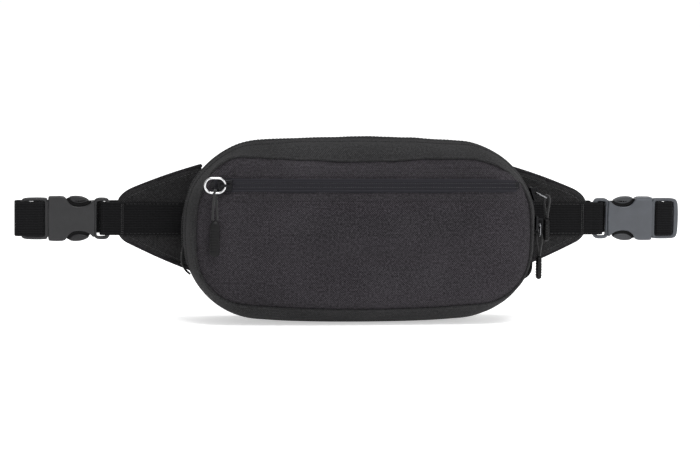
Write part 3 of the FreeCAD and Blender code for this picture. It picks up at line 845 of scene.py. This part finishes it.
bag_pieces()
rim("front_piping_cloth", -32.7, 0.4, 1.15, SEAM_ROW, ("front_piping",), GUSSET_CLOTH)
rim("back_binding_cloth", 32.4, 0.1, 1.6, BACK_ROW, ("back_binding",), PIPING_CLOTH)
zips()


# ---------------------------------------------------------------- wings

WING_STATIONS = 26
WING_SIDE = 15


def wing_half(u):
    """Lower and upper edge of the wing at u from root to tip, with a rounded tip and slightly bowed edges."""
    bow = math.sin(math.pi * min(u / 0.96, 1.0)) * 1.2
    low = WING_ROOT_Z[0] + (WING_TIP_Z[0] - WING_ROOT_Z[0]) * u - bow
    high = WING_ROOT_Z[1] + (WING_TIP_Z[1] - WING_ROOT_Z[1]) * u + bow
    left = (1.0 - u) * (WING_TIP_X - WING_ROOT_X)

    def rounding(radius):
        return radius - math.sqrt(max(radius * radius - (radius - left) ** 2, 0.0)) if left < radius else 0.0

    return low + rounding(7.0), high - rounding(11.0) * 0.62


def wing_u(k):
    """Place of a station from root to tip, closer together at the tip."""
    return 1.0 - (1.0 - k / (WING_STATIONS - 1)) ** 1.25


def wing_x(u):
    return WING_ROOT_X + (WING_TIP_X - WING_ROOT_X) * u


def wing_form(side):
    """One padded wing: a flat tapering cushion, held flat under its webbing."""
    points = []
    pins = []
    columns = WING_SIDE * 2
    for k in range(WING_STATIONS):
        u = wing_u(k)
        low, high = wing_half(u)
        for j in range(columns):
            v = j / WING_SIDE if j < WING_SIDE else 1.0 - (j - WING_SIDE) / WING_SIDE
            face = -1 if j < WING_SIDE else 1
            edge = min(v, 1.0 - v)
            thick = 2.4 * min(1.0, edge / 0.16) ** 0.5 * min(1.0, (1.0 - u) / 0.06 + 0.05) ** 0.5
            points.append(Vector((side * wing_x(u), WING_Y + face * thick, low + (high - low) * v)))
            held = edge < 0.01 or k in (0, WING_STATIONS - 1)
            webbed = face < 0 and abs(points[-1].z - WING_Z) < 12.0
            pins.append(1.0 if held else (0.8 if webbed else 0.0))
    faces = quads(WING_STATIONS, columns, True, flip=side < 0)
    end = (WING_STATIONS - 1) * columns
    for base in (0, end):
        for j in range(WING_SIDE):
            face = (base + j, base + (columns - j) % columns, base + columns - j - 1, base + j + 1)
            unique = tuple(dict.fromkeys(face))
            if len(unique) > 2:
                faces.append(unique if (base == 0) == (side > 0) else unique[::-1])
    name = "right" if side > 0 else "left"
    moved = inflate(f"wing_form_{name}", points, faces, pins, 2.6, shrink=-0.03)
    for start, p in zip(points, moved):
        calm = max(0.0, min(1.0, (abs(start.z - WING_Z) - 11.0) / 5.0))
        p.y += crumple(start, 2.2 + side, 15.0, 0.7) * calm
        if start.y < WING_Y and calm < 1.0:
            p.y = p.y * calm + (WING_Y - 2.9) * (1.0 - calm)
        if start.y > WING_Y:
            p.y = min(p.y, WING_Y + 3.6)
    cloth = mesh(f"wing_cloth_{name}", moved, faces, [(p.x, p.z) for p in points])
    finish_piece(cloth, None, "wing_fabric", WING_CLOTH, (f"wing_shell_{name}", f"wing_foam_{name}"))
    bend_at_root(cloth)
    return cloth


def bend_at_root(obj):
    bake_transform(obj)


def wing_edge(name, side, cloth):
    """Bound edge of the wing, with its line of stitching."""
    us = [wing_u(k) for k in range(WING_STATIONS)]
    path = [(wing_x(u), wing_half(u)[1]) for u in us] + [(wing_x(u), wing_half(u)[0]) for u in us[::-1]]
    line = [Vector((side * x, WING_Y, z)) for x, z in path]
    middle = Vector((side * 150.0, WING_Y, WING_Z))
    normals = [facing_out(Vector((-along.z, 0, along.x)), point - middle)
               for point, along in zip(line, tangents(line, False))]
    profile = [(-1.0, -3.2), (-1.35, -1.2), (-1.0, 0.1), (0.0, 0.55), (1.0, 0.1), (1.35, -1.2), (1.0, -3.2),
               (0.0, -2.2)]
    edge = sweep(f"wing_binding_{name}", line, normals, profile)
    finish_piece(edge, None, "piping_fabric", PIPING_CLOTH)
    bend_at_root(edge)
    inner = [p - n * 4.6 for p, n in zip(line, normals)]
    ground = tree_of(cloth)
    for label, face in (("front", -1), ("back", 1)):
        facing = [Vector((0, face, 0))] * len(inner)
        sewn = stitches(f"wing_stitches_{label}_{name}", [(inner, facing)], None, ground=ground, proud=0.02)
        bend_at_root(sewn)


# ---------------------------------------------------------------- belt webbing

def folded(corners, radius):
    """A strap's line in plan: straight runs with a round fold at each bar."""
    points = [Vector((x, y, WING_Z)) for x, y in corners]
    made = [points[0]]
    for before, here, after in zip(points, points[1:], points[2:]):
        back = (before - here).normalized()
        on = (after - here).normalized()
        turn = math.pi - back.angle(on)
        reach = min(radius * math.tan(turn / 2), (before - here).length * 0.49, (after - here).length * 0.49)
        r = reach / math.tan(turn / 2)
        centre = here + (back + on).normalized() * (r / math.cos(turn / 2))
        a = here + back * reach - centre
        b = here + on * reach - centre
        count = max(4, int(turn / 0.22))
        for k in range(count + 1):
            t = k / count
            made.append(centre + a.slerp(b, t).normalized() * r)
    made.append(points[-1])
    filled = [made[0]]
    for p in made[1:]:
        gap = (p - filled[-1]).length
        parts = int(gap / 6.0) + 1
        for k in range(1, parts):
            filled.append(filled[-1].lerp(p, 1.0 / (parts + 1 - k)))
        if gap > 0.05:
            filled.append(p)
    return filled


def band_profile(width, thick):
    """Section of a woven strap, a little thinner at its selvedges."""
    half = width / 2
    top = [(-half + 0.1, 0.3), (-half + 0.5, 0.46), (-half + 1.6, 0.5), (-half * 0.5, 0.47), (0, 0.5),
           (half * 0.5, 0.47), (half - 1.6, 0.5), (half - 0.5, 0.46), (half - 0.1, 0.3)]
    bottom = [(a, -h) for a, h in top[::-1]]
    return [(a, h * thick) for a, h in top + bottom]


def level_normals(path):
    return [Vector((t.y, -t.x, 0)).normalized() for t in tangents(path, False)]


def strap_piece(name, path, body, replaces, width=WEBBING_W):
    obj = sweep(name, path, level_normals(path), band_profile(width, WEBBING_T))
    return finish_piece(obj, body, "webbing", WEBBING, replaces)


def bartack(name, body, xs, y, half, face):
    """Dense cross stitching where webbing is sewn down: upright rows at these places on its face."""
    rows = [([Vector((x, y, WING_Z + z)) for z in (-half, half)], [Vector((0, face, 0))] * 2) for x in xs]
    return stitches(name, rows, body, pitch=1.5, length=1.25, radius=0.26, proud=0.05)


def belt(name, side):
    """The wing's webbing loop, the fold at the plug, and the belt's side and back runs."""
    front = WING_Y - 3.65
    back = WING_Y + 4.5
    loop = [(122.0, front + 0.6), (140.0, front), (172.0, front), (184.0, WING_Y - 3.0),
            (192.2, WING_Y - 3.0), (192.2, WING_Y + 3.2), (184.0, WING_Y + 3.2), (176.0, back), (158.0, back)]
    path = folded([(side * x, y) for x, y in loop], 2.6)
    band = strap_piece(f"wing_webbing_cloth_{name}", path, None, (f"wing_webbing_{name}",))
    bend_at_root(band)
    wing = f"wing_{name}"
    plug = f"plug_{name}"
    bartack(f"wing_bartack_{name}", wing, [side * x for x in (175.4, 176.6)], front - 0.7, 11.6, -1)
    bartack(f"wing_back_bartack_{name}", wing, [side * x for x in (160.0, 162.5)], back + 0.7, 11.6, 1)
    xs = spread(134.0, 174.0, 20)
    sewn = [([Vector((side * x, front - 0.72, WING_Z + z)) for x in xs], [Vector((0, -1, 0))] * len(xs))
            for z in (-11.2, 11.2)]
    rows = stitches(f"wing_webbing_stitches_{name}", sewn, None, radius=0.2)
    bend_at_root(rows)
    plug_front = WING_Y - 2.4 - WEBBING_T / 2 - 0.3
    end_x, end_y, radius = (255.4, WING_Y + 9.6, 3.0) if side < 0 else (247.0, WING_Y + 9.8, 2.2)
    fold = [(219.0, WING_Y + 5.6), (226.0, WING_Y + 6.2), (234.2, WING_Y + 6.0), (234.2, plug_front),
            (end_x, plug_front), (end_x, end_y), (FOLD_X, WING_Y + 10.0)]
    strap_piece(f"belt_fold_cloth_{name}", folded([(side * x, y) for x, y in fold], radius), plug,
                (f"belt_fold_{name}",), width=WINDOW_WEBBING_W)
    bartack(f"belt_tail_bartack_{name}", plug, [side * x for x in (221.0, 223.0)], WING_Y + 5.0, 11.0, -1)
    start = Vector((side * FOLD_X, WING_Y + 10.0, WING_Z))
    corner = Vector((side * CORNER_X, WING_Y + 20.0, WING_Z))
    middle = start.lerp(corner, 0.5)
    run = [start.lerp(middle, t) for t in spread(0.0, 1.0, 24)]
    outer = strap_piece(f"belt_side_cloth_{name}", run, None, (f"belt_side_{name}",))
    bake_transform(outer)
    layer_y = BELT_BACK_Y + 0.9 * side
    turn = [(129.0, 43.9), (122.0, BELT_BACK_Y), (112.0, (BELT_BACK_Y + layer_y) / 2), (100.0, layer_y)]
    rest = [middle.lerp(corner, t) for t in spread(0.0, 0.93, 20)]
    rest += [Vector((side * x, y, WING_Z)) for x, y in turn + [(x, layer_y) for x in spread(90.0, -40.0, 28)]]
    inner = strap_piece(f"belt_back_cloth_{name}", rest, None, (f"belt_back_{name}",))
    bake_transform(inner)
    bartack(f"belt_end_bartack_{name}", f"belt_back_{name}", [-side * x for x in (37.0, 38.5)],
            layer_y + 0.72 * side, 11.0, side)


# ---------------------------------------------------------------- buckles

def smooth_loop(points, step=0.55):
    """A closed line through a rough outline, with its corners cut round and its points evenly spaced."""
    loop = [Vector(p) for p in points]
    for _ in range(3):
        cut = []
        for i, p in enumerate(loop):
            q = loop[(i + 1) % len(loop)]
            cut += [p.lerp(q, 0.25), p.lerp(q, 0.75)]
        loop = cut
    run = sum((q - p).length for p, q in zip(loop, loop[1:] + loop[:1]))
    return even(loop + loop[:1], int(run / step))[:-1]


def inset_loop(loop, by):
    """The loop moved inwards, or outwards for a negative distance, without crossing itself."""
    count = len(loop)
    area = sum(p.x * q.y - q.x * p.y for p, q in zip(loop, loop[1:] + loop[:1]))
    turn = 1.0 if area > 0 else -1.0
    made = []
    for i in range(count):
        t = (loop[(i + 1) % count] - loop[i - 1]).normalized()
        made.append(loop[i] + Vector((-t.y, t.x)) * by * turn)
    for _ in range(6):
        for i in range(count):
            j = (i + 1) % count
            if (made[j] - made[i]).dot(loop[j] - loop[i]) < 0:
                middle = (made[i] + made[j]) / 2
                made[i] = middle
                made[j] = middle.copy()
    return made


def plate(name, side, outer, half, bevel, holes=()):
    """A moulded plate in the XZ plane with rounded edges, from smooth outlines about the belt's height."""
    outlines = [(smooth_loop(outer), 1.0)] + [(smooth_loop(hole), -1.0) for hole in holes]
    steps = 5
    turns = [math.pi / 2 * k / steps for k in range(steps + 1)]
    levels = [(bevel * (1 - math.cos(a)), half - bevel + bevel * math.sin(a)) for a in turns]
    profile = [(d, -h) for d, h in levels[::-1]] + levels
    points = []
    faces = []
    ends = {0: [], len(profile) - 1: []}
    for loop, sign in outlines:
        count = len(loop)
        base = len(points)
        for level, (d, h) in enumerate(profile):
            ring = inset_loop(loop, d * sign)
            if level in ends:
                ends[level].append((ring, len(points)))
            points += [Vector((side * p.x, WING_Y + h, WING_Z + p.y)) for p in ring]
        faces += [tuple(base + i for i in face) for face in quads(len(profile), count, True)]
    for rings in ends.values():
        index = [start + i for ring, start in rings for i in range(len(ring))]
        flat = [[Vector((p.x, p.y, 0.0)) for p in ring] for ring, start in rings]
        faces += [tuple(index[i] for i in face) for face in tessellate_polygon(flat)]
    obj = mesh(name, points, faces)
    tidy = bmesh.new()
    tidy.from_mesh(obj.data)
    bmesh.ops.remove_doubles(tidy, verts=tidy.verts, dist=0.000002)
    bmesh.ops.recalc_face_normals(tidy, faces=tidy.faces)
    tidy.to_mesh(obj.data)
    tidy.free()
    return obj


def carved(obj, cutter):
    """Takes the cutter's space out of the object, and removes the cutter."""
    cut = obj.modifiers.new("Cut", "BOOLEAN")
    cut.operation = "DIFFERENCE"
    cut.solver = "EXACT"
    cut.object = cutter
    graph = bpy.context.evaluated_depsgraph_get()
    data = bpy.data.meshes.new_from_object(obj.evaluated_get(graph))
    obj.modifiers.clear()
    obj.data = data
    bpy.data.objects.remove(cutter)
    for polygon in data.polygons:
        polygon.use_smooth = True


def block(name, x, y, z):
    """A plain block used only to cut a recess, given as ranges."""
    points = [Vector((a, b, c)) for a in x for b in y for c in z]
    faces = [(0, 1, 3, 2), (4, 6, 7, 5), (0, 4, 5, 1), (2, 3, 7, 6), (0, 2, 6, 4), (1, 5, 7, 3)]
    return mesh(name, points, faces)


def moulding(obj, body, slot, material, replaces=()):
    """Finishes a plastic piece: flat faces stay flat and edges stay round."""
    weighted = obj.modifiers.new("Normals", "WEIGHTED_NORMAL")
    weighted.keep_sharp = False
    weighted.weight = 90
    return finish_piece(obj, body, slot, material, replaces, smooth=0)


def mirrored_z(half):
    """A closed outline from its upper half, given as (x, z) from one end to the other."""
    return half + [(x, -z) for x, z in half[::-1]]


SOCKET_BODY = mirrored_z([
    (196.2, 9.0), (196.6, 13.4), (197.6, 13.9), (198.8, 12.6), (201.0, 10.6), (204.6, 9.3), (208.4, 9.0),
    (212.0, 9.4), (214.9, 11.0), (216.7, 13.4), (218.2, 15.9), (220.4, 16.7), (225.0, 16.75), (230.2, 16.6),
    (230.9, 15.9), (231.0, 12.0),
])
SOCKET_LOOP = mirrored_z([
    (184.9, 8.0), (185.0, 12.4), (186.4, 14.9), (188.6, 15.7), (193.6, 15.7), (196.2, 14.6), (197.4, 12.6),
    (198.2, 10.6), (198.4, 6.0),
])
SOCKET_SLOT = mirrored_z([
    (188.0, 6.0), (188.1, 12.6), (188.7, 13.2), (194.2, 13.2), (194.9, 12.5), (194.9, 6.0),
])
BUTTON = [
    (200.2, 13.6), (202.4, 15.3), (206.4, 16.8), (211.0, 17.1), (214.4, 16.7), (216.0, 15.7), (215.3, 14.3),
    (213.5, 12.6), (211.0, 11.6), (207.6, 11.3), (204.4, 11.7), (201.8, 12.6),
]
# The arm's outline reaches round the button, so that its near-black bar fills the gap there as painted shade.
ARM = [
    (199.4, 12.2), (202.0, 14.2), (206.4, 15.7), (211.0, 16.1), (215.6, 15.9), (217.4, 15.0), (218.6, 12.6),
    (229.3, 11.4), (229.3, 9.0), (219.0, 9.2), (213.0, 8.0), (206.0, 7.4), (200.4, 8.4),
]
PLUG_FRAME = mirrored_z([
    (231.4, 8.0), (231.5, 14.9), (232.4, 15.6), (240.0, 15.8), (248.6, 15.5), (250.8, 14.0), (251.7, 11.0),
    (252.1, 5.0),
])
PLUG_WINDOW = mirrored_z([
    (233.6, 6.0), (233.7, 12.6), (234.3, 13.2), (247.4, 13.0), (248.1, 12.2), (248.4, 6.0),
])
PLUG_BAR = mirrored_z([(237.0, 5.0), (237.0, 13.6), (238.2, 14.2), (239.4, 13.6), (239.4, 5.0)])
PLUG_ROOT = mirrored_z([(228.9, 6.0), (229.0, 13.2), (229.6, 13.8), (232.6, 13.8), (232.8, 6.0)])
PLUG_GUIDE = mirrored_z([(206.0, 1.0), (207.4, 1.9), (220.0, 2.1), (230.0, 2.2), (230.4, 1.0)])


def buckle(name, side, material, button_shaded_material, slot):
    wing = f"wing_{name}"
    plug = f"plug_{name}"
    body = plate(f"socket_sleeve_{name}", side, SOCKET_BODY, 4.5, 0.9)
    recess = block(f"socket_cavity_{name}", sorted(side * x for x in RECESS_X), (WING_Y - 3.0, WING_Y + 3.0),
                   (WING_Z - 14.8, WING_Z + 14.8))
    carved(body, recess)
    moulding(body, wing, slot, material, (f"socket_{name}",))
    moulding(plate(f"socket_loop_{name}", side, SOCKET_LOOP, 2.3, 0.9, [SOCKET_SLOT]), wing, slot, material)
    plug_frame = plate(f"plug_frame_{name}", side, PLUG_FRAME, 2.4, 0.9, [PLUG_WINDOW])
    moulding(plug_frame, plug, slot, material, (plug,))
    for label, shape, half, bevel in (("bar", PLUG_BAR, 1.6, 0.7), ("root", PLUG_ROOT, 2.4, 0.6),
                                      ("guide", PLUG_GUIDE, 1.9, 0.5)):
        moulding(plate(f"plug_{label}_{name}", side, shape, half, bevel), plug, slot, material)
    for label, up in (("upper", 1), ("lower", -1)):
        arm = f"arm_{label}_{name}"
        bar = plate(f"arm_bar_{label}_{name}", side, [(x, up * z) for x, z in ARM], 1.7, 0.5)
        # The arm bar is near-black: painted shade in the gap between button and body.
        moulding(bar, arm, slot, ARM_PAINTED_SHADE, (arm,))
        button = plate(f"button_{label}_{name}", side, [(x, up * z) for x, z in BUTTON], 2.75, 1.3)
        # The button gets the darker copy of the buckle plastic, which is painted shade.
        moulding(button, arm, slot, button_shaded_material)
        ribs = [capsule_parts(Vector((side * x, WING_Y + face * 2.5, WING_Z + up * 12.9)),
                              Vector((side * (x + 0.7), WING_Y + face * 2.4, WING_Z + up * 15.7)), 0.4)
                for face in (-1, 1) for x in (207.6, 209.4, 211.2)]
        moulding(mesh(f"button_ribs_{label}_{name}", *joined(ribs)), arm, slot, button_shaded_material)


for NAME, SIDE, PLASTIC, BUTTON_SHADED_PLASTIC, PLASTIC_SLOT in (
        ("right", 1, BUCKLE_GREY, BUTTON_GREY_SHADED, "buckle_grey"),
        ("left", -1, BUCKLE_DARK, BUTTON_DARK_SHADED, "buckle_dark")):
    wing_edge(NAME, SIDE, wing_form(SIDE))
    belt(NAME, SIDE)
    buckle(NAME, SIDE, PLASTIC, BUTTON_SHADED_PLASTIC, PLASTIC_SLOT)


# ---------------------------------------------------------------- back, tabs and keeper

def back_pad():
    """Padded air mesh on the back, blown up between its sewn edge and its channels."""
    half_w, half_h, corner = section_at(31.0)
    edge = outline(BACK_Y + 0.2, half_w - PAD_INSET, half_h - PAD_INSET, corner - PAD_INSET)
    rings = [0.0, 0.03, 0.08, 0.16, 0.28, 0.42, 0.56, 0.7, 0.85, 1.0]
    rows = [towards_middle(edge, k, BACK_Y + 0.2 + 2.2 * min(1.0, k / 0.08) ** 0.5, 60.0) for k in rings]
    points = [p for row in rows for p in row]
    pins = []
    for i, p in enumerate(points):
        channel = abs(abs(p.x) - PAD_CHANNEL_X) < 1.6
        pins.append(1.0 if i < COLUMNS else (0.9 if channel else 0.0))
        if channel and i >= COLUMNS * 2:
            p.y -= 1.4
    faces = quads(len(rows), COLUMNS, True) + middle_faces((len(rows) - 1) * COLUMNS, True)
    moved = inflate("back_pad_form", points, faces, pins, 2.6, pressure=2.5)
    for p in moved:
        p.y = min(max(p.y, BACK_Y - 0.2), BACK_Y + 5.0)
    pad = mesh("back_pad_cloth", moved, faces, [(p.x, p.z) for p in points])
    finish_piece(pad, "pack", "back_mesh", BACK_MESH, ("back_pad",))
    normals = [Vector((0, 1, 0))] * COLUMNS
    profile = [(-2.6, 0.0), (-1.6, 0.9), (0.0, 1.2), (1.6, 0.9), (2.6, 0.0), (0.0, -0.6)]
    hem = sweep("back_pad_binding", edge, normals, profile, closed=True)
    finish_piece(hem, "pack", "piping_fabric", PIPING_CLOTH)
    stitches("back_pad_stitches", [(edge + edge[:1], normals + normals[:1])], "pack", proud=1.25)


def inner_sheet(name, y, by, top):
    """A soft inner wall with slack in it."""
    half_w, half_h, corner = section_at(max(y, -31.5))
    edge = outline(y, half_w - by, half_h - by, corner - by)
    rows = [towards_middle(edge, k, y, 60.0) for k in (0.0, 0.2, 0.4, 0.6, 0.8, 1.0)]
    for row in rows:
        for p in row:
            p.z = min(p.z, top)
            p.y += crumple(p, 6.1, 30.0, 0.8)
    points = [p for row in rows for p in row]
    sheet = mesh(f"{name}_cloth", points, quads(len(rows), COLUMNS, True), [(p.x, p.z) for p in points])
    solid = sheet.modifiers.new("Thickness", "SOLIDIFY")
    solid.thickness = 0.0006
    finish_piece(sheet, "pack", "lining_fabric", LINING_CLOTH, (name,), smooth=0)


TAB_LEVELS = {
    "right": (49.3, 47.6, 45.0, 41.5, 38.0, 35.0, 33.2, 32.0),
    "left": (57.0, 55.0, 52.0, 48.0, 44.0, 40.0, 37.5, 36.0),
}


def end_tab(name, side):
    """Folded webbing tab sewn over the end of the main zip, standing a little off the bag."""
    line = [Vector((side * 132.0, MAIN_ZIP_Y, z)) for z in TAB_LEVELS[name]]
    lift = (0.2, 0.9, 1.6, 2.8, 3.6, 3.2, 1.8, 0.3)
    laid = []
    for p, h in zip(line, lift):
        hit = BAG_TREE.ray_cast(p + Vector((side * 20.0, 0, 0)), Vector((-side, 0, 0)), 60.0)[0]
        laid.append((hit if hit is not None else p) + Vector((side * (h + 0.3), 0, 0)))
    normals = [facing_out(Vector((t.z, 0, -t.x)), Vector((side, 0, 0))) for t in tangents(laid, False)]
    tab = sweep(f"end_tab_cloth_{name}", laid, normals, band_profile(10.5, 1.5))
    finish_piece(tab, "pack", "webbing", TAB_TAPE, (f"end_tab_{name}",))
    rows = [([laid[i] + normals[i] * 0.75 + Vector((0, dy, 0)) for dy in (-4.0, 4.0)], [normals[i]] * 2)
            for i in (2, 4)]
    stitches(f"end_tab_stitches_{name}", rows, "pack", pitch=1.5, length=1.2)


def boxy(a, half_a, half_b, power):
    """A place on a rounded oblong at an angle."""
    c = math.cos(a)
    d = math.sin(a)
    return half_a * math.copysign(abs(c) ** power, c), half_b * math.copysign(abs(d) ** power, d)


def keeper():
    """Elastic band round both layers of the belt."""
    centre = Vector((KEEPER_X, BELT_BACK_Y, WING_Z))
    corners = [centre + Vector((0, *boxy(2 * math.pi * k / 48, 2.6, 13.8, 0.35))) for k in range(48)]
    normals = [facing_out(t.cross(Vector((1, 0, 0))), p - centre)
               for p, t in zip(corners, tangents(corners, True))]
    profile = [(-4.5, -0.3), (-4.5, 0.35), (-4.0, 0.5), (0.0, 0.55), (4.0, 0.5), (4.5, 0.35), (4.5, -0.3),
               (0.0, -0.4)]
    loop = sweep("belt_keeper_cloth", corners, normals, profile, closed=True)
    finish_piece(loop, "belt_back_right", "elastic", ELASTIC, ("belt_keeper",))


back_pad()
inner_sheet("front_pocket_wall", -30.5, 4.2, 200.0)
inner_sheet("slip_pocket", 28.5, 6.2, 90.0)
end_tab("right", 1)
end_tab("left", -1)
keeper()


# ---------------------------------------------------------------- zip pulls

def cord_line(name, wire_point, along, out, drop, wrap):
    """A doubled cord over its ring, on the CAD route's own points."""
    offsets = [
        (-1.6, 0.2, -drop), (-1.5, 0.7, -drop * 0.62), (-1.1, wrap, -drop * 0.28), (-0.5, wrap, wrap),
        (0.5, -wrap, wrap), (1.1, -wrap, -drop * 0.28), (1.5, -0.7, -drop * 0.62), (1.6, -0.2, -drop),
    ]
    curve = bpy.data.curves.new(name, "CURVE")
    curve.dimensions = "3D"
    spline = curve.splines.new("NURBS")
    spline.points.add(len(offsets) - 1)
    for point, (a, b, c) in zip(spline.points, offsets):
        place = (wire_point + along * a + out * b + Vector((0, 0, c))) * MM
        point.co = (*place, 1.0)
    spline.order_u = 3
    spline.use_endpoint_u = True
    spline.resolution_u = 12
    curve.bevel_depth = 0.0009
    curve.bevel_resolution = 4
    obj = bpy.data.objects.new(name, curve)
    bpy.context.collection.objects.link(obj)
    return obj


def grip_piece(name, node, body):
    """Ribbed rubber grip that narrows towards its cord."""
    low, high = (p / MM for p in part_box(node))
    middle = (low + high) / 2
    half = (high - low) / 2
    rows = 46
    around = 24
    points = []
    for r in range(rows):
        t = r / (rows - 1)
        z = high.z - (high.z - low.z) * t
        taper = 0.86 + 0.14 * min(1.0, t * 2.6)
        cap = min(1.0, t * 9.0, (1.0 - t) * 11.0) ** 0.5 if 0 < t < 1 else 0.12
        rib = 0.93 + 0.07 * math.cos(t * (high.z - low.z) * 2 * math.pi / 2.1) if 0.26 < t < 0.93 else 0.97
        size = taper * cap * rib
        for k in range(around):
            x, y = boxy(2 * math.pi * k / around, half.x * size, half.y * size, 0.6)
            points.append(Vector((middle.x + x, middle.y + y, z)))
    finish_piece(mesh(name, points, tube(rows, around)), body, "pull_grip", GRIP_RUBBER, (node,))


def pulls():
    details = {
        "front": (Vector((-112.0, -43.0, 100.0)), Vector((1, 0, 0)), Vector((0, -1, 0)), 20.0, 1.7),
        "upper": (Vector((142.7512, -4.0, 93.0814)), Vector((0, 1, 0)), Vector((1, 0, 0)), 15.0, 1.2),
        "lower": (Vector((137.5, -4.0, 64.2)), Vector((0, 1, 0)), Vector((1, 0, 0)), 15.0, 1.2),
    }
    for name, (point, along, out, drop, wire) in details.items():
        wrap = (wire + 1.8) / 2 + 0.35
        cord = cord_line(f"{name}_cord_line", point, along, out, drop, wrap)
        finish_piece(cord, f"{name}_pull", "pull_cord", PULL_CORD, (f"{name}_pull_cord",))
        grip_piece(f"{name}_grip_piece", f"{name}_pull_grip", f"{name}_pull")
        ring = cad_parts[f"{name}_ring"]
        # The side pulls' rings take the darker copy of the ring metal, which is painted shade.
        ring.material_slots[0].material = RING_METAL if name == "front" else SHADED_RING_METAL
        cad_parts[f"{name}_slider"].material_slots[0].material = SLIDER_METAL
    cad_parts["front_zip_stops"].material_slots[0].material = SLIDER_METAL


pulls()


# ---------------------------------------------------------------- floor, light and camera

def stage():
    data = bpy.data.meshes.new("floor")
    size = 30.0
    corners = [(-size, -size, 0), (size, -size, 0), (size, size, 0), (-size, size, 0)]
    data.from_pydata(corners, [], [(0, 1, 2, 3)])
    floor = bpy.data.objects.new("floor", data)
    bpy.context.collection.objects.link(floor)
    n = Nodes("floor paint", 0.8, specular=0.1)
    tone = n.ramp(n.noise(n.place(), 0.6, 2.0), [(0.3, (0.86, 0.86, 0.865)), (0.7, (0.9, 0.9, 0.905))])
    n.link(tone, n.shader.inputs["Base Color"])
    n.shader.inputs["Emission Color"].default_value = (1.0, 1.0, 1.0, 1.0)
    n.shader.inputs["Emission Strength"].default_value = 0.5
    data.materials.append(n.material)


def light(name, place, target, size, power):
    data = bpy.data.lights.new(name, "AREA")
    data.shape = "RECTANGLE"
    data.size = size[0]
    data.size_y = size[1]
    data.energy = power
    lamp = bpy.data.objects.new(name, data)
    bpy.context.collection.objects.link(lamp)
    lamp.location = place
    lamp.rotation_euler = (Vector(target) - Vector(place)).to_track_quat("-Z", "Y").to_euler()


def studio():
    scene = bpy.context.scene
    scene.view_settings.view_transform = "Standard"
    world = bpy.data.worlds.new("studio")
    world.use_nodes = True
    world.node_tree.nodes["Background"].inputs[0].default_value = (1.0, 1.0, 1.0, 1.0)
    world.node_tree.nodes["Background"].inputs[1].default_value = 0.6
    scene.world = world
    light("key", (0.35, -1.2, 1.8), (0, 0, 0.07), (1.0, 0.8), 27.0)
    light("fill", (1.5, -1.3, 0.8), (0, 0, 0.07), (0.9, 0.9), 9.0)
    light("top", (0.0, 0.3, 2.0), (0, 0, 0.07), (1.6, 1.0), 18.0)


def camera():
    azimuth = math.radians(-8.0)
    elevation = math.radians(5.7)
    flat = math.cos(elevation)
    away = Vector((math.sin(azimuth) * flat, -math.cos(azimuth) * flat, math.sin(elevation)))
    target = Vector((-0.0066, 0.0, 0.0715))
    data = bpy.data.cameras.new("camera")
    data.lens = 135.0
    data.sensor_width = 36.0
    data.clip_end = 100.0
    distance = 0.525 * data.lens / data.sensor_width
    view = bpy.data.objects.new("camera", data)
    bpy.context.collection.objects.link(view)
    view.location = target + away * distance
    turn = (-away).to_track_quat("-Z", "Y").to_matrix() @ Matrix.Rotation(math.radians(0.75), 3, "Z")
    view.rotation_euler = turn.to_euler()
    bpy.context.scene.camera = view


stage()
studio()
camera()
